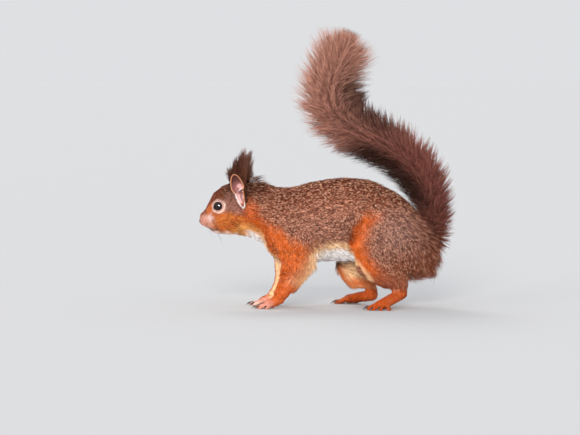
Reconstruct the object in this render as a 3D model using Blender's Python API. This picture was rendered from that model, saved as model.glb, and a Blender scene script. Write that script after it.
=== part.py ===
"""A life-size red squirrel that stands on all fours, with its tail raised over its back.

Metres, +Z up. The squirrel faces -X, its left side faces -Y, and its feet stand on Z = 0.
The solids reach to the tips of the coat. The flesh is modelled whole and parted with thin cuts.
"""

import math

import bmesh
import bpy
from mathutils import Matrix, Vector

GAP = 0.0003  # clearance between neighbours that touch
LEFT, RIGHT = -1, 1  # the sign of Y on each side
SIDE_NAMES = {LEFT: "left", RIGHT: "right"}

# The head, neck and trunk, as upright sections from the nose to the root of the tail:
# (x, height of the belly side, height of the widest level, height of the back, half width)
TORSO_SECTIONS = (
    (-0.1058, 0.0700, 0.0730, 0.0762, 0.0022),  # nose tip
    (-0.1042, 0.0676, 0.0726, 0.0782, 0.0038),
    (-0.1013, 0.0650, 0.0715, 0.0812, 0.0054),  # muzzle
    (-0.0979, 0.0630, 0.0710, 0.0880, 0.0073),
    (-0.0946, 0.0617, 0.0730, 0.0942, 0.0099),
    (-0.0896, 0.0604, 0.0760, 0.0990, 0.0128),  # eyes
    (-0.0830, 0.0598, 0.0765, 0.1027, 0.0145),
    (-0.0739, 0.0595, 0.0780, 0.1050, 0.0156),  # ears
    (-0.0639, 0.0578, 0.0780, 0.1055, 0.0166),
    (-0.0552, 0.0534, 0.0770, 0.1042, 0.0180),  # neck
    (-0.0485, 0.0440, 0.0760, 0.1025, 0.0198),
    (-0.0410, 0.0395, 0.0740, 0.1012, 0.0220),
    (-0.0290, 0.0378, 0.0700, 0.1011, 0.0245),  # shoulders
    (-0.0141, 0.0372, 0.0700, 0.1050, 0.0265),
    (0.0025, 0.0378, 0.0710, 0.1082, 0.0280),  # ribs
    (0.0190, 0.0376, 0.0700, 0.1088, 0.0290),  # loins
    (0.0357, 0.0340, 0.0660, 0.1066, 0.0295),
    (0.0523, 0.0270, 0.0600, 0.0996, 0.0290),  # croup
    (0.0647, 0.0240, 0.0560, 0.0913, 0.0265),
    (0.0764, 0.0255, 0.0510, 0.0789, 0.0220),  # rump
    (0.0855, 0.0300, 0.0460, 0.0639, 0.0150),
    (0.0905, 0.0370, 0.0445, 0.0530, 0.0080),
)

# Round masses that swell the torso: (name, centre, radii, turn about Y in degrees), left side
LOBES = (
    ("cheek", (-0.0800, -0.0085, 0.0700), (0.0125, 0.0080, 0.0105), 0),
    ("whisker_pad", (-0.0990, -0.0036, 0.0690), (0.0055, 0.0042, 0.0050), 20),
    ("shoulder", (-0.0300, -0.0145, 0.0650), (0.0190, 0.0125, 0.0240), 15),
)

# Limbs as paths of oval sections: (x, distance from the middle plane, z, radius seen from the
# side, radius seen from the front). Left and right differ because the squirrel is mid-step.
FORELEGS = {
    LEFT: (
        (-0.0285, 0.0150, 0.0640, 0.0180, 0.0110),
        (-0.0262, 0.0185, 0.0480, 0.0168, 0.0098),
        (-0.0252, 0.0200, 0.0380, 0.0158, 0.0086),  # elbow
        (-0.0300, 0.0205, 0.0250, 0.0108, 0.0070),
        (-0.0362, 0.0210, 0.0140, 0.0076, 0.0058),  # wrist
        (-0.0420, 0.0218, 0.0075, 0.0058, 0.0056),
    ),
    RIGHT: (
        (-0.0310, 0.0150, 0.0640, 0.0175, 0.0110),
        (-0.0325, 0.0175, 0.0480, 0.0170, 0.0095),
        (-0.0335, 0.0185, 0.0370, 0.0125, 0.0082),
        (-0.0360, 0.0190, 0.0240, 0.0084, 0.0066),
        (-0.0402, 0.0195, 0.0135, 0.0064, 0.0055),
        (-0.0455, 0.0203, 0.0075, 0.0056, 0.0054),
    ),
}
THIGHS = {
    LEFT: (
        (0.0680, 0.0155, 0.0640, 0.0235, 0.0120),  # hip
        (0.0545, 0.0185, 0.0560, 0.0305, 0.0145),
        (0.0410, 0.0210, 0.0475, 0.0240, 0.0135),
        (0.0330, 0.0225, 0.0430, 0.0165, 0.0115),  # knee
    ),
    RIGHT: (
        (0.0660, 0.0155, 0.0640, 0.0235, 0.0120),
        (0.0480, 0.0185, 0.0545, 0.0290, 0.0140),
        (0.0290, 0.0215, 0.0440, 0.0200, 0.0125),
        (0.0175, 0.0225, 0.0370, 0.0125, 0.0105),
    ),
}
SHANKS = {
    LEFT: (
        (0.0350, 0.0225, 0.0400, 0.0150, 0.0110),
        (0.0470, 0.0225, 0.0310, 0.0140, 0.0110),
        (0.0570, 0.0230, 0.0235, 0.0105, 0.0090),
        (0.0605, 0.0215, 0.0160, 0.0068, 0.0064),  # heel
    ),
    RIGHT: (
        (0.0180, 0.0225, 0.0350, 0.0120, 0.0100),
        (0.0250, 0.0225, 0.0250, 0.0118, 0.0092),
        (0.0330, 0.0225, 0.0160, 0.0090, 0.0078),
        (0.0370, 0.0215, 0.0110, 0.0062, 0.0062),
    ),
}

# Feet: where the sole starts and ends, as (x, distance from the middle plane, z), with the
# half width and half thickness there, and how the toes fan out from its end.
FOREFEET = {
    LEFT: {"start": (-0.0395, 0.0215, 0.0078), "end": (-0.0465, 0.0237, 0.0042)},
    RIGHT: {"start": (-0.0445, 0.0203, 0.0076), "end": (-0.0515, 0.0220, 0.0042)},
}
HINDFEET = {
    LEFT: {"start": (0.0615, 0.0195, 0.0125), "end": (0.0455, 0.0405, 0.0046)},
    RIGHT: {"start": (0.0375, 0.0195, 0.0090), "end": (0.0215, 0.0400, 0.0046)},
}
FOREFOOT_SHAPE = {
    "palm": ((0.0052, 0.0052), (0.0064, 0.0047)),  # (half width, half thickness) at each end
    "toes": ((-34, 0.0080), (-11, 0.0105), (12, 0.0105), (38, 0.0080)),  # (degrees, length)
    "toe_radius": 0.0019,
    "claw": 0.0048,
}
HINDFOOT_SHAPE = {
    "palm": ((0.0056, 0.0058), (0.0078, 0.0052)),
    "toes": ((-38, 0.0080), (-17, 0.0120), (1, 0.0130), (19, 0.0120), (44, 0.0085)),
    "toe_radius": 0.0021,
    "claw": 0.0052,
}
SOLE_DIP = 0.0007  # how far pads are pressed flat where they meet the ground
TOE_FORM = {
    "spread": 0.72,  # share of the sole's half width over which the toes start
    "root": 1.22,  # radius at the root, in toe radii
    "bend_at": 0.45,  # share of the length where the toe bends down
    "bend_rise": 0.9,  # height of that bend, in toe radii
    "end": 0.95,  # radius at the end, in toe radii
}
CLAW_FORM = {
    "radius": 0.00085,
    "rise": 0.45,  # height of its root over the toe's middle, in toe radii
    "ahead": 0.3,  # how far its root lies ahead of the toe's end, in toe radii
    "arch_at": 0.45,  # share of the length where it is highest
    "arch": 0.35,  # height of the arch, in toe radii
    "tip": 0.0003,
    "tip_height": 0.0006,
}

EYE_RADIUS = 0.0044
EYE_CENTRE = Vector((-0.0899, 0.0094, 0.0842))

EAR = {
    "middle": Vector((-0.0722, 0.0150, 0.0972)),
    "radii": Vector((0.0072, 0.0050, 0.0145)),  # half width, depth of the cup, half height
    "wall": 0.0011,
    "hollow_at": 0.42,  # how far out the hollow's middle lies, as a share of the cup's depth
    "opening_at": 0.30,  # where the cup is cut open, as a share of its depth
    "lean": 17,  # degrees that the top leans forwards from upright
    "splay": 4,  # degrees outwards
    "facing": 30,  # degrees that the open side turns forwards from straight out
}
# Hair tufts of the ears: (x, distance from the middle plane, z, radius from the side, from front)
EAR_TUFTS = {
    LEFT: (
        (-0.0700, 0.0112, 0.1030, 0.0085, 0.0046),
        (-0.0722, 0.0135, 0.1120, 0.0105, 0.0052),
        (-0.0720, 0.0150, 0.1220, 0.0085, 0.0042),
        (-0.0700, 0.0166, 0.1305, 0.0030, 0.0016),
    ),
    RIGHT: (
        (-0.0685, 0.0112, 0.1030, 0.0082, 0.0046),
        (-0.0690, 0.0135, 0.1110, 0.0098, 0.0052),
        (-0.0675, 0.0150, 0.1195, 0.0080, 0.0042),
        (-0.0640, 0.0166, 0.1275, 0.0030, 0.0016),
    ),
}

# The tail's outline, out to the hair tips: (x, z, radius seen from the side, from behind)
TAIL_SECTIONS = (
    (0.0810, 0.0420, 0.0120, 0.0110),  # root, inside the rump
    (0.0875, 0.0560, 0.0155, 0.0145),
    (0.0885, 0.0720, 0.0170, 0.0170),
    (0.0875, 0.0850, 0.0180, 0.0195),
    (0.0850, 0.0970, 0.0205, 0.0215),
    (0.0775, 0.1125, 0.0230, 0.0230),
    (0.0625, 0.1275, 0.0240, 0.0235),
    (0.0440, 0.1385, 0.0245, 0.0235),
    (0.0260, 0.1460, 0.0250, 0.0235),
    (0.0112, 0.1545, 0.0255, 0.0235),
    (0.0032, 0.1660, 0.0272, 0.0235),
    (0.0015, 0.1800, 0.0288, 0.0230),
    (0.0055, 0.1950, 0.0285, 0.0215),
    (0.0100, 0.2085, 0.0255, 0.0200),  # the tip is a blunt brush
)
TAIL_TIP_REACH = 0.0240
TAIL_JOINTS = (0.33, 0.50, 0.67, 0.86)  # shares of the tail's path where its lengths meet
TAIL_NAMES = ("tail_root", "tail_lower", "tail_middle", "tail_upper", "tail_tip")

# Where the flesh is parted. The limbs come first, from the ground up, on each side:
# (name, lowest and highest corner of what is taken, with Y as distance from the middle plane)
LOW_PARTS = (
    ("forefoot", (-0.0800, 0.0010, -0.0100), (-0.0200, 0.0600, 0.0128)),
    ("forearm", (-0.0700, 0.0010, 0.0100), (0.0000, 0.0500, 0.0362)),
    ("hindfoot", (0.0000, 0.0130, -0.0100), (0.0900, 0.0900, 0.0142)),
)
LEVEL_PARTS = {
    LEFT: (*LOW_PARTS, ("lower_leg", (0.0000, 0.0128, 0.0120), (0.0665, 0.0600, 0.0285))),
    RIGHT: (*LOW_PARTS, ("lower_leg", (0.0000, 0.0128, 0.0120), (0.0455, 0.0600, 0.0285))),
}
# (name, centre, radii, turn about Y in degrees)
ROUND_PARTS = (
    ("upper_arm", (-0.0285, 0.0270, 0.0545), (0.0195, 0.0130, 0.0250), 10),
    ("thigh", (0.0500, 0.0370, 0.0545), (0.0400, 0.0200, 0.0345), 20),
)
# Slanted cuts right across, from the nose backwards: (name, a point on the cut, its direction)
CROSS_PARTS = (
    ("head", (-0.0675, 0.0, 0.0810), (-1.0, 0.0, 0.16)),
    ("neck", (-0.0500, 0.0, 0.0780), (-1.0, 0.0, 0.14)),
    ("chest", (0.0060, 0.0, 0.0730), (-1.0, 0.0, 0.0)),
)

FLESH_VOXEL = 0.0009
FLESH_FACES = 2150
SECTION_POINTS = 28
TAIL_POINTS = 15
STEPS_BETWEEN = 4  # sections made between two given ones
CAP_RINGS = 4
LAST_CAP_TURN = 84  # degrees round a rounded end at which its flat fan begins
GROUND_DEPTH, GROUND_HALF = 0.02, 0.2
TAIL_CUT_LENGTH, TAIL_CUT_HALF = 0.07, 0.05  # blocks that part the tail
BODY_CUT = 0.12  # length and half width of the blocks that part the body
SHARP_ANGLE = 50

COLOURS = {  # name: (base colour, roughness, metallic)
    "coat_brown": ((0.19, 0.085, 0.05), 0.85, 0.0),
    "coat_orange": ((0.42, 0.12, 0.03), 0.85, 0.0),
    "coat_dark": ((0.075, 0.03, 0.022), 0.9, 0.0),
    "skin_bare": ((0.55, 0.25, 0.2), 0.6, 0.0),
    "eye_black": ((0.006, 0.004, 0.004), 0.08, 0.0),
}


def clear_scene():
    for item in list(bpy.data.objects):
        bpy.data.objects.remove(item, do_unlink=True)


def material(name):
    found = bpy.data.materials.get(name)
    if found:
        return found
    colour, roughness, metallic = COLOURS[name]
    made = bpy.data.materials.new(name)
    made.use_nodes = True
    shader = made.node_tree.nodes["Principled BSDF"]
    shader.inputs["Base Color"].default_value = (*colour, 1.0)
    shader.inputs["Roughness"].default_value = roughness
    shader.inputs["Metallic"].default_value = metallic
    made.diffuse_color = (*colour, 1.0)
    return made


def smooth_between(values, share):
    """The value at a share (0 to 1) of a list of tuples, on a smooth curve through them all."""
    last = len(values) - 1
    place = min(max(share, 0.0), 1.0) * last
    i = min(int(place), last - 1)
    t = place - i
    before, start, end, after = (values[min(max(i + k, 0), last)] for k in (-1, 0, 1, 2))
    return tuple(
        0.5 * (2 * b + (c - a) * t + (2 * a - 5 * b + 4 * c - d) * t**2 + (3 * b - a - 3 * c + d) * t**3)
        for a, b, c, d in zip(before, start, end, after)
    )


def mesh_object(name, mesh_data):
    """A new object in the scene from a bmesh, which is freed."""
    bmesh.ops.recalc_face_normals(mesh_data, faces=mesh_data.faces)
    mesh = bpy.data.meshes.new(name)
    mesh_data.to_mesh(mesh)
    mesh_data.free()
    made = bpy.data.objects.new(name, mesh)
    bpy.context.scene.collection.objects.link(made)
    return made


def loft(name, rings):
    """A closed skin over rings of points, with a flat fan at each end."""
    shape = bmesh.new()
    rows = [[shape.verts.new(p) for p in ring] for ring in rings]
    for row, following in zip(rows, rows[1:]):
        for k in range(len(row)):
            n = (k + 1) % len(row)
            shape.faces.new((row[k], row[n], following[n], following[k]))
    shape.faces.new(rows[0])
    shape.faces.new(rows[-1])
    return mesh_object(name, shape)


def torso():
    count = (len(TORSO_SECTIONS) - 1) * STEPS_BETWEEN
    rings = []
    for step in range(count + 1):
        x, low, wide, high, half = smooth_between(TORSO_SECTIONS, step / count)
        ring = []
        for k in range(SECTION_POINTS):
            turn = math.tau * k / SECTION_POINTS
            reach = high - wide if math.sin(turn) > 0 else wide - low
            ring.append(Vector((x, half * math.cos(turn), wide + reach * math.sin(turn))))
        rings.append(ring)
    return loft("torso", rings)


def section_frames(stations, count, level):
    """(centre, tangent, side, rise, radii) along a path. The side axis stays level if asked."""
    frames = []
    for step in range(count + 1):
        share = step / count
        here = smooth_between(stations, share)
        ahead = Vector(smooth_between(stations, min(share + 0.01, 1.0))[:3])
        behind = Vector(smooth_between(stations, max(share - 0.01, 0.0))[:3])
        tangent = (ahead - behind).normalized()
        if level:
            side = Vector((0, 0, 1)).cross(tangent).normalized()
        else:
            side = (Vector((0, 1, 0)) - tangent * tangent.y).normalized()
        rise = side.cross(tangent).normalized()
        frames.append((Vector(here[:3]), tangent, side, rise, here[3:]))
    return frames


def sweep(name, stations, points=SECTION_POINTS, steps=STEPS_BETWEEN, level=False, caps=CAP_RINGS, tip=None):
    """An oval tube through stations of (x, y, z, radius along the rise, radius to the side).

    Both ends are rounded. The last one reaches as far as tip says, or as its smaller radius.
    """
    frames = section_frames(stations, (len(stations) - 1) * steps, level)

    def ring(frame, shift, shrink):
        centre, tangent, side, rise, (tall, wide) = frame
        return [
            centre
            + tangent * shift
            + rise * (tall * shrink * math.sin(math.tau * k / points))
            + side * (wide * shrink * math.cos(math.tau * k / points))
            for k in range(points)
        ]

    def cap(frame, sign, reach=None):
        reach = reach or min(frame[4])
        turns = [math.pi / 2 * k / caps for k in range(1, caps)]
        turns.append(math.radians(LAST_CAP_TURN))
        return [ring(frame, sign * reach * math.sin(a), math.cos(a)) for a in turns]

    rings = cap(frames[0], -1)[::-1] + [ring(f, 0, 1) for f in frames] + cap(frames[-1], 1, tip)
    return loft(name, rings)


def ellipsoid(name, centre, radii, turn=0, segments=14, rings=8):
    shape = bmesh.new()
    bmesh.ops.create_uvsphere(shape, u_segments=segments, v_segments=rings, radius=1.0)
    place = (
        Matrix.Translation(centre)
        @ Matrix.Rotation(math.radians(turn), 4, "Y")
        @ Matrix.Diagonal((*radii, 1.0))
    )
    bmesh.ops.transform(shape, matrix=place, verts=shape.verts)
    return mesh_object(name, shape)


def on_side(stations, side):
    """Stations given by their distance from the middle plane, put on one side."""
    return [(s[0], side * s[1], *s[2:]) for s in stations]


def block(name, start, direction, length, half):
    """A square block that starts at a point and runs along a direction."""
    shape = bmesh.new()
    bmesh.ops.create_cube(shape, size=1.0)
    turned = direction.normalized().to_track_quat("Z", "Y").to_matrix().to_4x4()
    place = Matrix.Translation(start) @ turned @ Matrix.Translation((0, 0, length / 2))
    place = place @ Matrix.Diagonal((2 * half, 2 * half, length, 1.0))
    bmesh.ops.transform(shape, matrix=place, verts=shape.verts)
    return mesh_object(name, shape)


def level_box(name, low, high):
    """A box from its lowest corner to its highest."""
    shape = bmesh.new()
    bmesh.ops.create_cube(shape, size=1.0)
    low, high = Vector(low), Vector(high)
    place = Matrix.Translation((low + high) / 2) @ Matrix.Diagonal((*(high - low), 1.0))
    bmesh.ops.transform(shape, matrix=place, verts=shape.verts)
    return mesh_object(name, shape)


def foot(name, side, place, shape):
    """(flesh objects, claw objects) of one foot: a sole and its fan of toes."""
    start, end = (Vector((p[0], side * p[1], p[2])) for p in (place["start"], place["end"]))
    heading = math.atan2(end.y - start.y, end.x - start.x)
    (half_a, thick_a), (half_b, thick_b) = shape["palm"]
    middle = start.lerp(end, 0.5)
    sole = (
        (*start, thick_a, half_a),
        (*middle, (thick_a + thick_b) / 2, (half_a + half_b) / 2),
        (*end, thick_b, half_b),
    )
    flesh = [sweep(f"{name}_sole", sole, level=True)]
    claws = []
    radius = shape["toe_radius"]
    across = Vector((-math.sin(heading), math.cos(heading), 0))
    widest = max(abs(turn) for turn, _ in shape["toes"])
    for i, (turn, length) in enumerate(shape["toes"]):
        aim = heading + math.radians(turn)
        ahead = Vector((math.cos(aim), math.sin(aim), 0))
        root = end + across * (half_b * TOE_FORM["spread"] * turn / widest)
        floor_level = radius - SOLE_DIP
        bend = root + ahead * length * TOE_FORM["bend_at"]
        bend.z = floor_level + radius * TOE_FORM["bend_rise"]
        tip = root + ahead * length
        tip.z = floor_level
        root_radius, tip_radius = radius * TOE_FORM["root"], radius * TOE_FORM["end"]
        toe = (
            (*root, root_radius, root_radius),
            (*bend, radius, radius),
            (*tip, tip_radius, tip_radius),
        )
        flesh.append(sweep(f"{name}_toe_{i + 1}", toe, points=14, level=True))
        claws.append(claw(f"{name}_claw_{i + 1}", tip, ahead, radius, shape["claw"]))
    return flesh, claws


def claw(name, tip, ahead, toe_radius, length):
    """A hooked cone that leaves the top of the toe's end and comes down to the ground."""
    form = CLAW_FORM
    above = Vector((0, 0, toe_radius))
    start = tip + ahead * toe_radius * form["ahead"] + above * form["rise"]
    arch = start + ahead * length * form["arch_at"] + above * form["arch"]
    end = start + ahead * length
    stations = (
        (*start, form["radius"], form["radius"]),
        (*arch, form["radius"], form["radius"]),
        (end.x, end.y, form["tip_height"], form["tip"], form["tip"]),
    )
    return sweep(name, stations, points=5, steps=1, level=True, caps=1)


def joined(name, items):
    """One object that holds the meshes of all these, which are removed."""
    shape = bmesh.new()
    for item in items:
        shape.from_mesh(item.data)
        bpy.data.objects.remove(item, do_unlink=True)
    mesh = bpy.data.meshes.new(name)
    shape.to_mesh(mesh)
    shape.free()
    made = bpy.data.objects.new(name, mesh)
    bpy.context.scene.collection.objects.link(made)
    return made


def apply_modifiers(item):
    """Puts what the modifiers make into the mesh."""
    graph = bpy.context.evaluated_depsgraph_get()
    graph.update()
    mesh = bpy.data.meshes.new_from_object(item.evaluated_get(graph))
    item.modifiers.clear()
    item.data = mesh
    return item


def fused(item, voxel, passes, faces):
    """Overlapping shapes melted into one smooth body of a set number of triangles."""
    remesh = item.modifiers.new("melt", "REMESH")
    remesh.mode = "VOXEL"
    remesh.voxel_size = voxel
    smooth = item.modifiers.new("smooth", "SMOOTH")
    smooth.factor = 0.5
    smooth.iterations = passes
    apply_modifiers(item)
    item.data.calc_loop_triangles()
    fewer = item.modifiers.new("fewer", "DECIMATE")
    fewer.ratio = faces / len(item.data.loop_triangles)
    return apply_modifiers(item)


def boolean(item, other, operation):
    """Applies one Boolean to item. The other object stays."""
    cut = item.modifiers.new(operation.lower(), "BOOLEAN")
    cut.operation = operation
    cut.object = other
    cut.solver = "EXACT"
    return apply_modifiers(item)


def drop(*items):
    for item in items:
        bpy.data.objects.remove(item, do_unlink=True)


def keep_largest(item):
    """Removes the scraps that a cut leaves beside the main body."""
    shape = bmesh.new()
    shape.from_mesh(item.data)
    unseen = set(shape.verts)
    bodies = []
    while unseen:
        found, edge_of_search = set(), {unseen.pop()}
        while edge_of_search:
            found |= edge_of_search
            edge_of_search = {e.other_vert(v) for v in edge_of_search for e in v.link_edges} - found
        unseen -= found
        bodies.append(found)
    largest = max(bodies, key=len)
    scraps = [v for v in shape.verts if v not in largest]
    bmesh.ops.delete(shape, geom=scraps, context="VERTS")
    shape.to_mesh(item.data)
    shape.free()
    return item


def copy_of(item, name):
    made = item.copy()
    made.data = item.data.copy()
    made.name = name
    bpy.context.scene.collection.objects.link(made)
    return made


def swollen(item, name, by):
    """A copy whose surface is pushed outwards a little."""
    made = copy_of(item, name)
    push = made.modifiers.new("push", "DISPLACE")
    push.strength = by
    push.mid_level = 0.0
    return apply_modifiers(made)


def part_off(body, name, cutter, wider_cutter):
    """Takes what lies inside the cutter off the body, as an object of its own, with a thin gap."""
    piece = copy_of(body, name)
    keep_largest(boolean(piece, cutter, "INTERSECT"))
    keep_largest(boolean(body, wider_cutter, "DIFFERENCE"))
    drop(cutter, wider_cutter)
    return piece


def part_off_block(body, name, start, direction, length, half):
    """Parts the body across a joint: what lies beyond the start, along the direction."""
    direction = direction.normalized()
    return part_off(
        body,
        name,
        block("cutter", start, direction, length, half),
        block("wide_cutter", start - direction * GAP, direction, length, half + GAP),
    )


def part_off_ellipsoid(body, name, centre, radii, turn):
    wider = [r + GAP for r in radii]
    return part_off(
        body,
        name,
        ellipsoid("cutter", centre, radii, turn),
        ellipsoid("wide_cutter", centre, wider, turn),
    )


def flesh_and_claws():
    """The whole flesh as one body that stands on flat soles, and the claws by foot."""
    shapes = [torso()]
    claws = {}
    for side, word in SIDE_NAMES.items():
        for lobe, centre, radii, turn in LOBES:
            middle = (centre[0], -side * centre[1], centre[2])
            shapes.append(ellipsoid(f"{lobe}_{word}", middle, radii, turn))
        shapes.append(sweep(f"arm_{word}", on_side(FORELEGS[side], side)))
        shapes.append(sweep(f"haunch_{word}", on_side(THIGHS[side], side)))
        shapes.append(sweep(f"lower_leg_{word}", on_side(SHANKS[side], side)))
        for kind, places, form in (("fore", FOREFEET, FOREFOOT_SHAPE), ("hind", HINDFEET, HINDFOOT_SHAPE)):
            flesh, nails = foot(f"{kind}_{word}", side, places[side], form)
            shapes += flesh
            claws[kind, side] = nails
    body = fused(joined("flesh", shapes), FLESH_VOXEL, passes=3, faces=FLESH_FACES)
    for nails in claws.values():
        for nail in nails:
            boolean(body, nail, "UNION")
            drop(nail)
    ground = block("ground", Vector((0, 0, 0)), Vector((0, 0, -1)), GROUND_DEPTH, GROUND_HALF)
    boolean(body, ground, "DIFFERENCE")
    drop(ground)
    return body


def parted(body):
    """The flesh in named parts: each limb across its joints, then head, neck, chest and loins."""
    pieces = []
    for side, word in SIDE_NAMES.items():
        for name, low, high in LEVEL_PARTS[side]:
            near, far = sorted((side * low[1], side * high[1]))
            low_corner = Vector((low[0], near, low[2]))
            high_corner = Vector((high[0], far, high[2]))
            grow = Vector((GAP, GAP, GAP))
            cutter = level_box("cutter", low_corner, high_corner)
            wider = level_box("wide_cutter", low_corner - grow, high_corner + grow)
            pieces.append(part_off(body, f"{name}_{word}", cutter, wider))
        for name, centre, radii, turn in ROUND_PARTS:
            middle = (centre[0], side * centre[1], centre[2])
            pieces.append(part_off_ellipsoid(body, f"{name}_{word}", middle, radii, turn))
    for name, start, direction in CROSS_PARTS:
        place, way = Vector(start), Vector(direction)
        pieces.append(part_off_block(body, name, place, way, BODY_CUT, BODY_CUT))
    body.name = "loins"
    return [body, *pieces]


def ear_filled(side, wider=0.0):
    """The ear's outer form as a closed oval, which can be a little larger all round."""
    oval = ellipsoid("ear_filled", (0, 0, 0), [r + wider for r in EAR["radii"]], segments=12)
    return set_on_head(oval, side)


def ear(side):
    """An open cup of even thickness, with its hollow side out."""
    size = EAR["radii"]
    cup = ellipsoid(f"ear_{SIDE_NAMES[side]}", (0, 0, 0), size, segments=12)
    hollow_size = [r - EAR["wall"] for r in size]
    hollow = ellipsoid("hollow", (0, -size.y * EAR["hollow_at"], 0), hollow_size, segments=12)
    boolean(cup, hollow, "DIFFERENCE")
    opening = Vector((0, -size.y * EAR["opening_at"], 0))
    front = block("front", opening, Vector((0, -1, 0)), 2 * size.z, 2 * size.z)
    boolean(cup, front, "DIFFERENCE")
    drop(hollow, front)
    return set_on_head(cup, side)


def set_on_head(item, side):
    """Moves an ear shape made at the origin, hollow side towards -Y, to its place on one side."""
    place = (
        Matrix.Translation((EAR["middle"].x, side * EAR["middle"].y, EAR["middle"].z))
        @ Matrix.Rotation(math.radians(-side * EAR["splay"]), 4, "X")
        @ Matrix.Rotation(math.radians(-EAR["lean"]), 4, "Y")
        @ Matrix.Rotation(math.radians(side * EAR["facing"]), 4, "Z")
        @ Matrix.Diagonal((1.0, -side, 1.0, 1.0))
    )
    item.data.transform(place)
    if side == RIGHT:
        item.data.flip_normals()
    return item


def tail_pieces(body):
    """The tail, cut to fit the rump, in five lengths from its root to its tip."""
    stations = [(x, 0.0, z, tall, wide) for x, z, tall, wide in TAIL_SECTIONS]
    whole = sweep("tail", stations, points=TAIL_POINTS, steps=2, tip=TAIL_TIP_REACH)
    wider = swollen(body, "wider_body", GAP)
    keep_largest(boolean(whole, wider, "DIFFERENCE"))
    drop(wider)
    pieces = []
    for share, name in reversed(list(zip(TAIL_JOINTS, TAIL_NAMES[1:]))):
        here = Vector(smooth_between(stations, share)[:3])
        ahead = Vector(smooth_between(stations, share + 0.01)[:3])
        pieces.append(part_off_block(whole, name, here, ahead - here, TAIL_CUT_LENGTH, TAIL_CUT_HALF))
    whole.name = TAIL_NAMES[0]
    return [whole, *pieces]


def dress(item, colour):
    item.data.materials.clear()
    item.data.materials.append(material(colour))
    item.data.shade_smooth()
    item.data.set_sharp_from_angle(angle=math.radians(SHARP_ANGLE))


def build():
    clear_scene()
    body = flesh_and_claws()
    made = []

    for side, word in SIDE_NAMES.items():
        centre = (EYE_CENTRE.x, side * EYE_CENTRE.y, EYE_CENTRE.z)
        socket = ellipsoid("socket", centre, [EYE_RADIUS + GAP] * 3, segments=12)
        boolean(body, socket, "DIFFERENCE")
        drop(socket)
        eye = ellipsoid(f"eye_{word}", centre, [EYE_RADIUS] * 3, segments=12)
        made.append((eye, "eye_black"))

    tail = tail_pieces(body)
    made += [(item, "coat_dark") for item in tail]

    wider = swollen(body, "wider_body", GAP)
    for side, word in SIDE_NAMES.items():
        cup = ear(side)
        keep_largest(boolean(cup, wider, "DIFFERENCE"))
        tuft = sweep(f"ear_tuft_{word}", on_side(EAR_TUFTS[side], side), points=9, steps=1, caps=2)
        filled = ear_filled(side, GAP)
        boolean(tuft, filled, "DIFFERENCE")
        keep_largest(boolean(tuft, wider, "DIFFERENCE"))
        drop(filled)
        made += [(cup, "coat_brown"), (tuft, "coat_dark")]
    drop(wider)
    made += [(item, part_colour(item.name)) for item in parted(body)]
    for item, colour in made:
        dress(item, colour)


def part_colour(name):
    if "foot" in name:
        return "skin_bare"
    if name.startswith(("forearm", "upper_arm", "lower_leg")):
        return "coat_orange"
    return "coat_brown"


build()
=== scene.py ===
import math

import bpy
import numpy as np
from mathutils import Matrix, Vector


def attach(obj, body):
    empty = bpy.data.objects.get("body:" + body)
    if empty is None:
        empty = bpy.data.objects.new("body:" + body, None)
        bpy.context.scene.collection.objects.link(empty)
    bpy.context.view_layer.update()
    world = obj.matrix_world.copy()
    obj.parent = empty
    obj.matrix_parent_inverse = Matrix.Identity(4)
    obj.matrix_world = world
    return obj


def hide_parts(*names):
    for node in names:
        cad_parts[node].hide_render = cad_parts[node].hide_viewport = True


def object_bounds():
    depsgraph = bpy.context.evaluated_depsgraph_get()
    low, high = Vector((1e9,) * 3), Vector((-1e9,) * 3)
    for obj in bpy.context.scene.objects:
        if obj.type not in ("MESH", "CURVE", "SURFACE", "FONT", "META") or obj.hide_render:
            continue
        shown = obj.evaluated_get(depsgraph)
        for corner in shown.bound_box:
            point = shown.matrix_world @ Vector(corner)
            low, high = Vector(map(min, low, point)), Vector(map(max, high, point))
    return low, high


# Dressing for a life-size red squirrel. Tables are in millimetres, with Y as the distance from the
# middle plane, and the left side is towards -Y.
mm = 0.001
left, right = -1, 1
sideNames = {left: "left", right: "right"}
fullTurn = 6.283  # radians
seeded = np.random.default_rng
ripples = {"waves": 7, "paces": (0.6, 1.5), "greatest": 2.6}  # of the smooth noise

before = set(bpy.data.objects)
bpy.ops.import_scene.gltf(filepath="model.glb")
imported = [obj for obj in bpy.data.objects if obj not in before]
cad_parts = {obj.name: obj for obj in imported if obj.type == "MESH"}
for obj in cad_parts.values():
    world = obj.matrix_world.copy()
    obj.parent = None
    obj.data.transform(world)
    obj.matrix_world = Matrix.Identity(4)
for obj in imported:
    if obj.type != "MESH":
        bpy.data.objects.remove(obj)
cadLow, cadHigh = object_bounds()
print("frame loaded with", len(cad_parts), "solids")

# tools for shaping


def clearSelection():
    active = bpy.context.view_layer.objects.active
    if active and active.mode != "OBJECT":
        endEdit()
    bpy.ops.object.select_all(action="DESELECT")


def pick(piece):
    clearSelection()
    piece.select_set(True)
    bpy.context.view_layer.objects.active = piece
    return piece


def editAll(piece):
    pick(piece)
    bpy.ops.object.mode_set(mode="EDIT")
    bpy.ops.mesh.select_all(action="SELECT")


def endEdit():
    bpy.ops.object.mode_set(mode="OBJECT")


def joinAll(pieces, name):
    pick(pieces[0])
    for piece in pieces:
        piece.select_set(True)
    if len(pieces) > 1:
        bpy.ops.object.join()
    joined = bpy.context.object
    joined.name = joined.data.name = name
    return joined


def finishWith(piece, kind, **settings):
    pick(piece)
    modifier = piece.modifiers.new(kind.lower(), kind)
    for key, value in settings.items():
        setattr(modifier, key, value)
    bpy.ops.object.modifier_apply(modifier=modifier.name)
    return piece


def settle(piece):
    pick(piece)
    bpy.ops.object.transform_apply(location=True, rotation=True, scale=True)
    return piece


def rowsOf(items, key, kind=np.float32):
    flat = np.empty(len(items) * 3, kind)
    items.foreach_get(key, flat)
    return flat.reshape(-1, 3)


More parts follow.
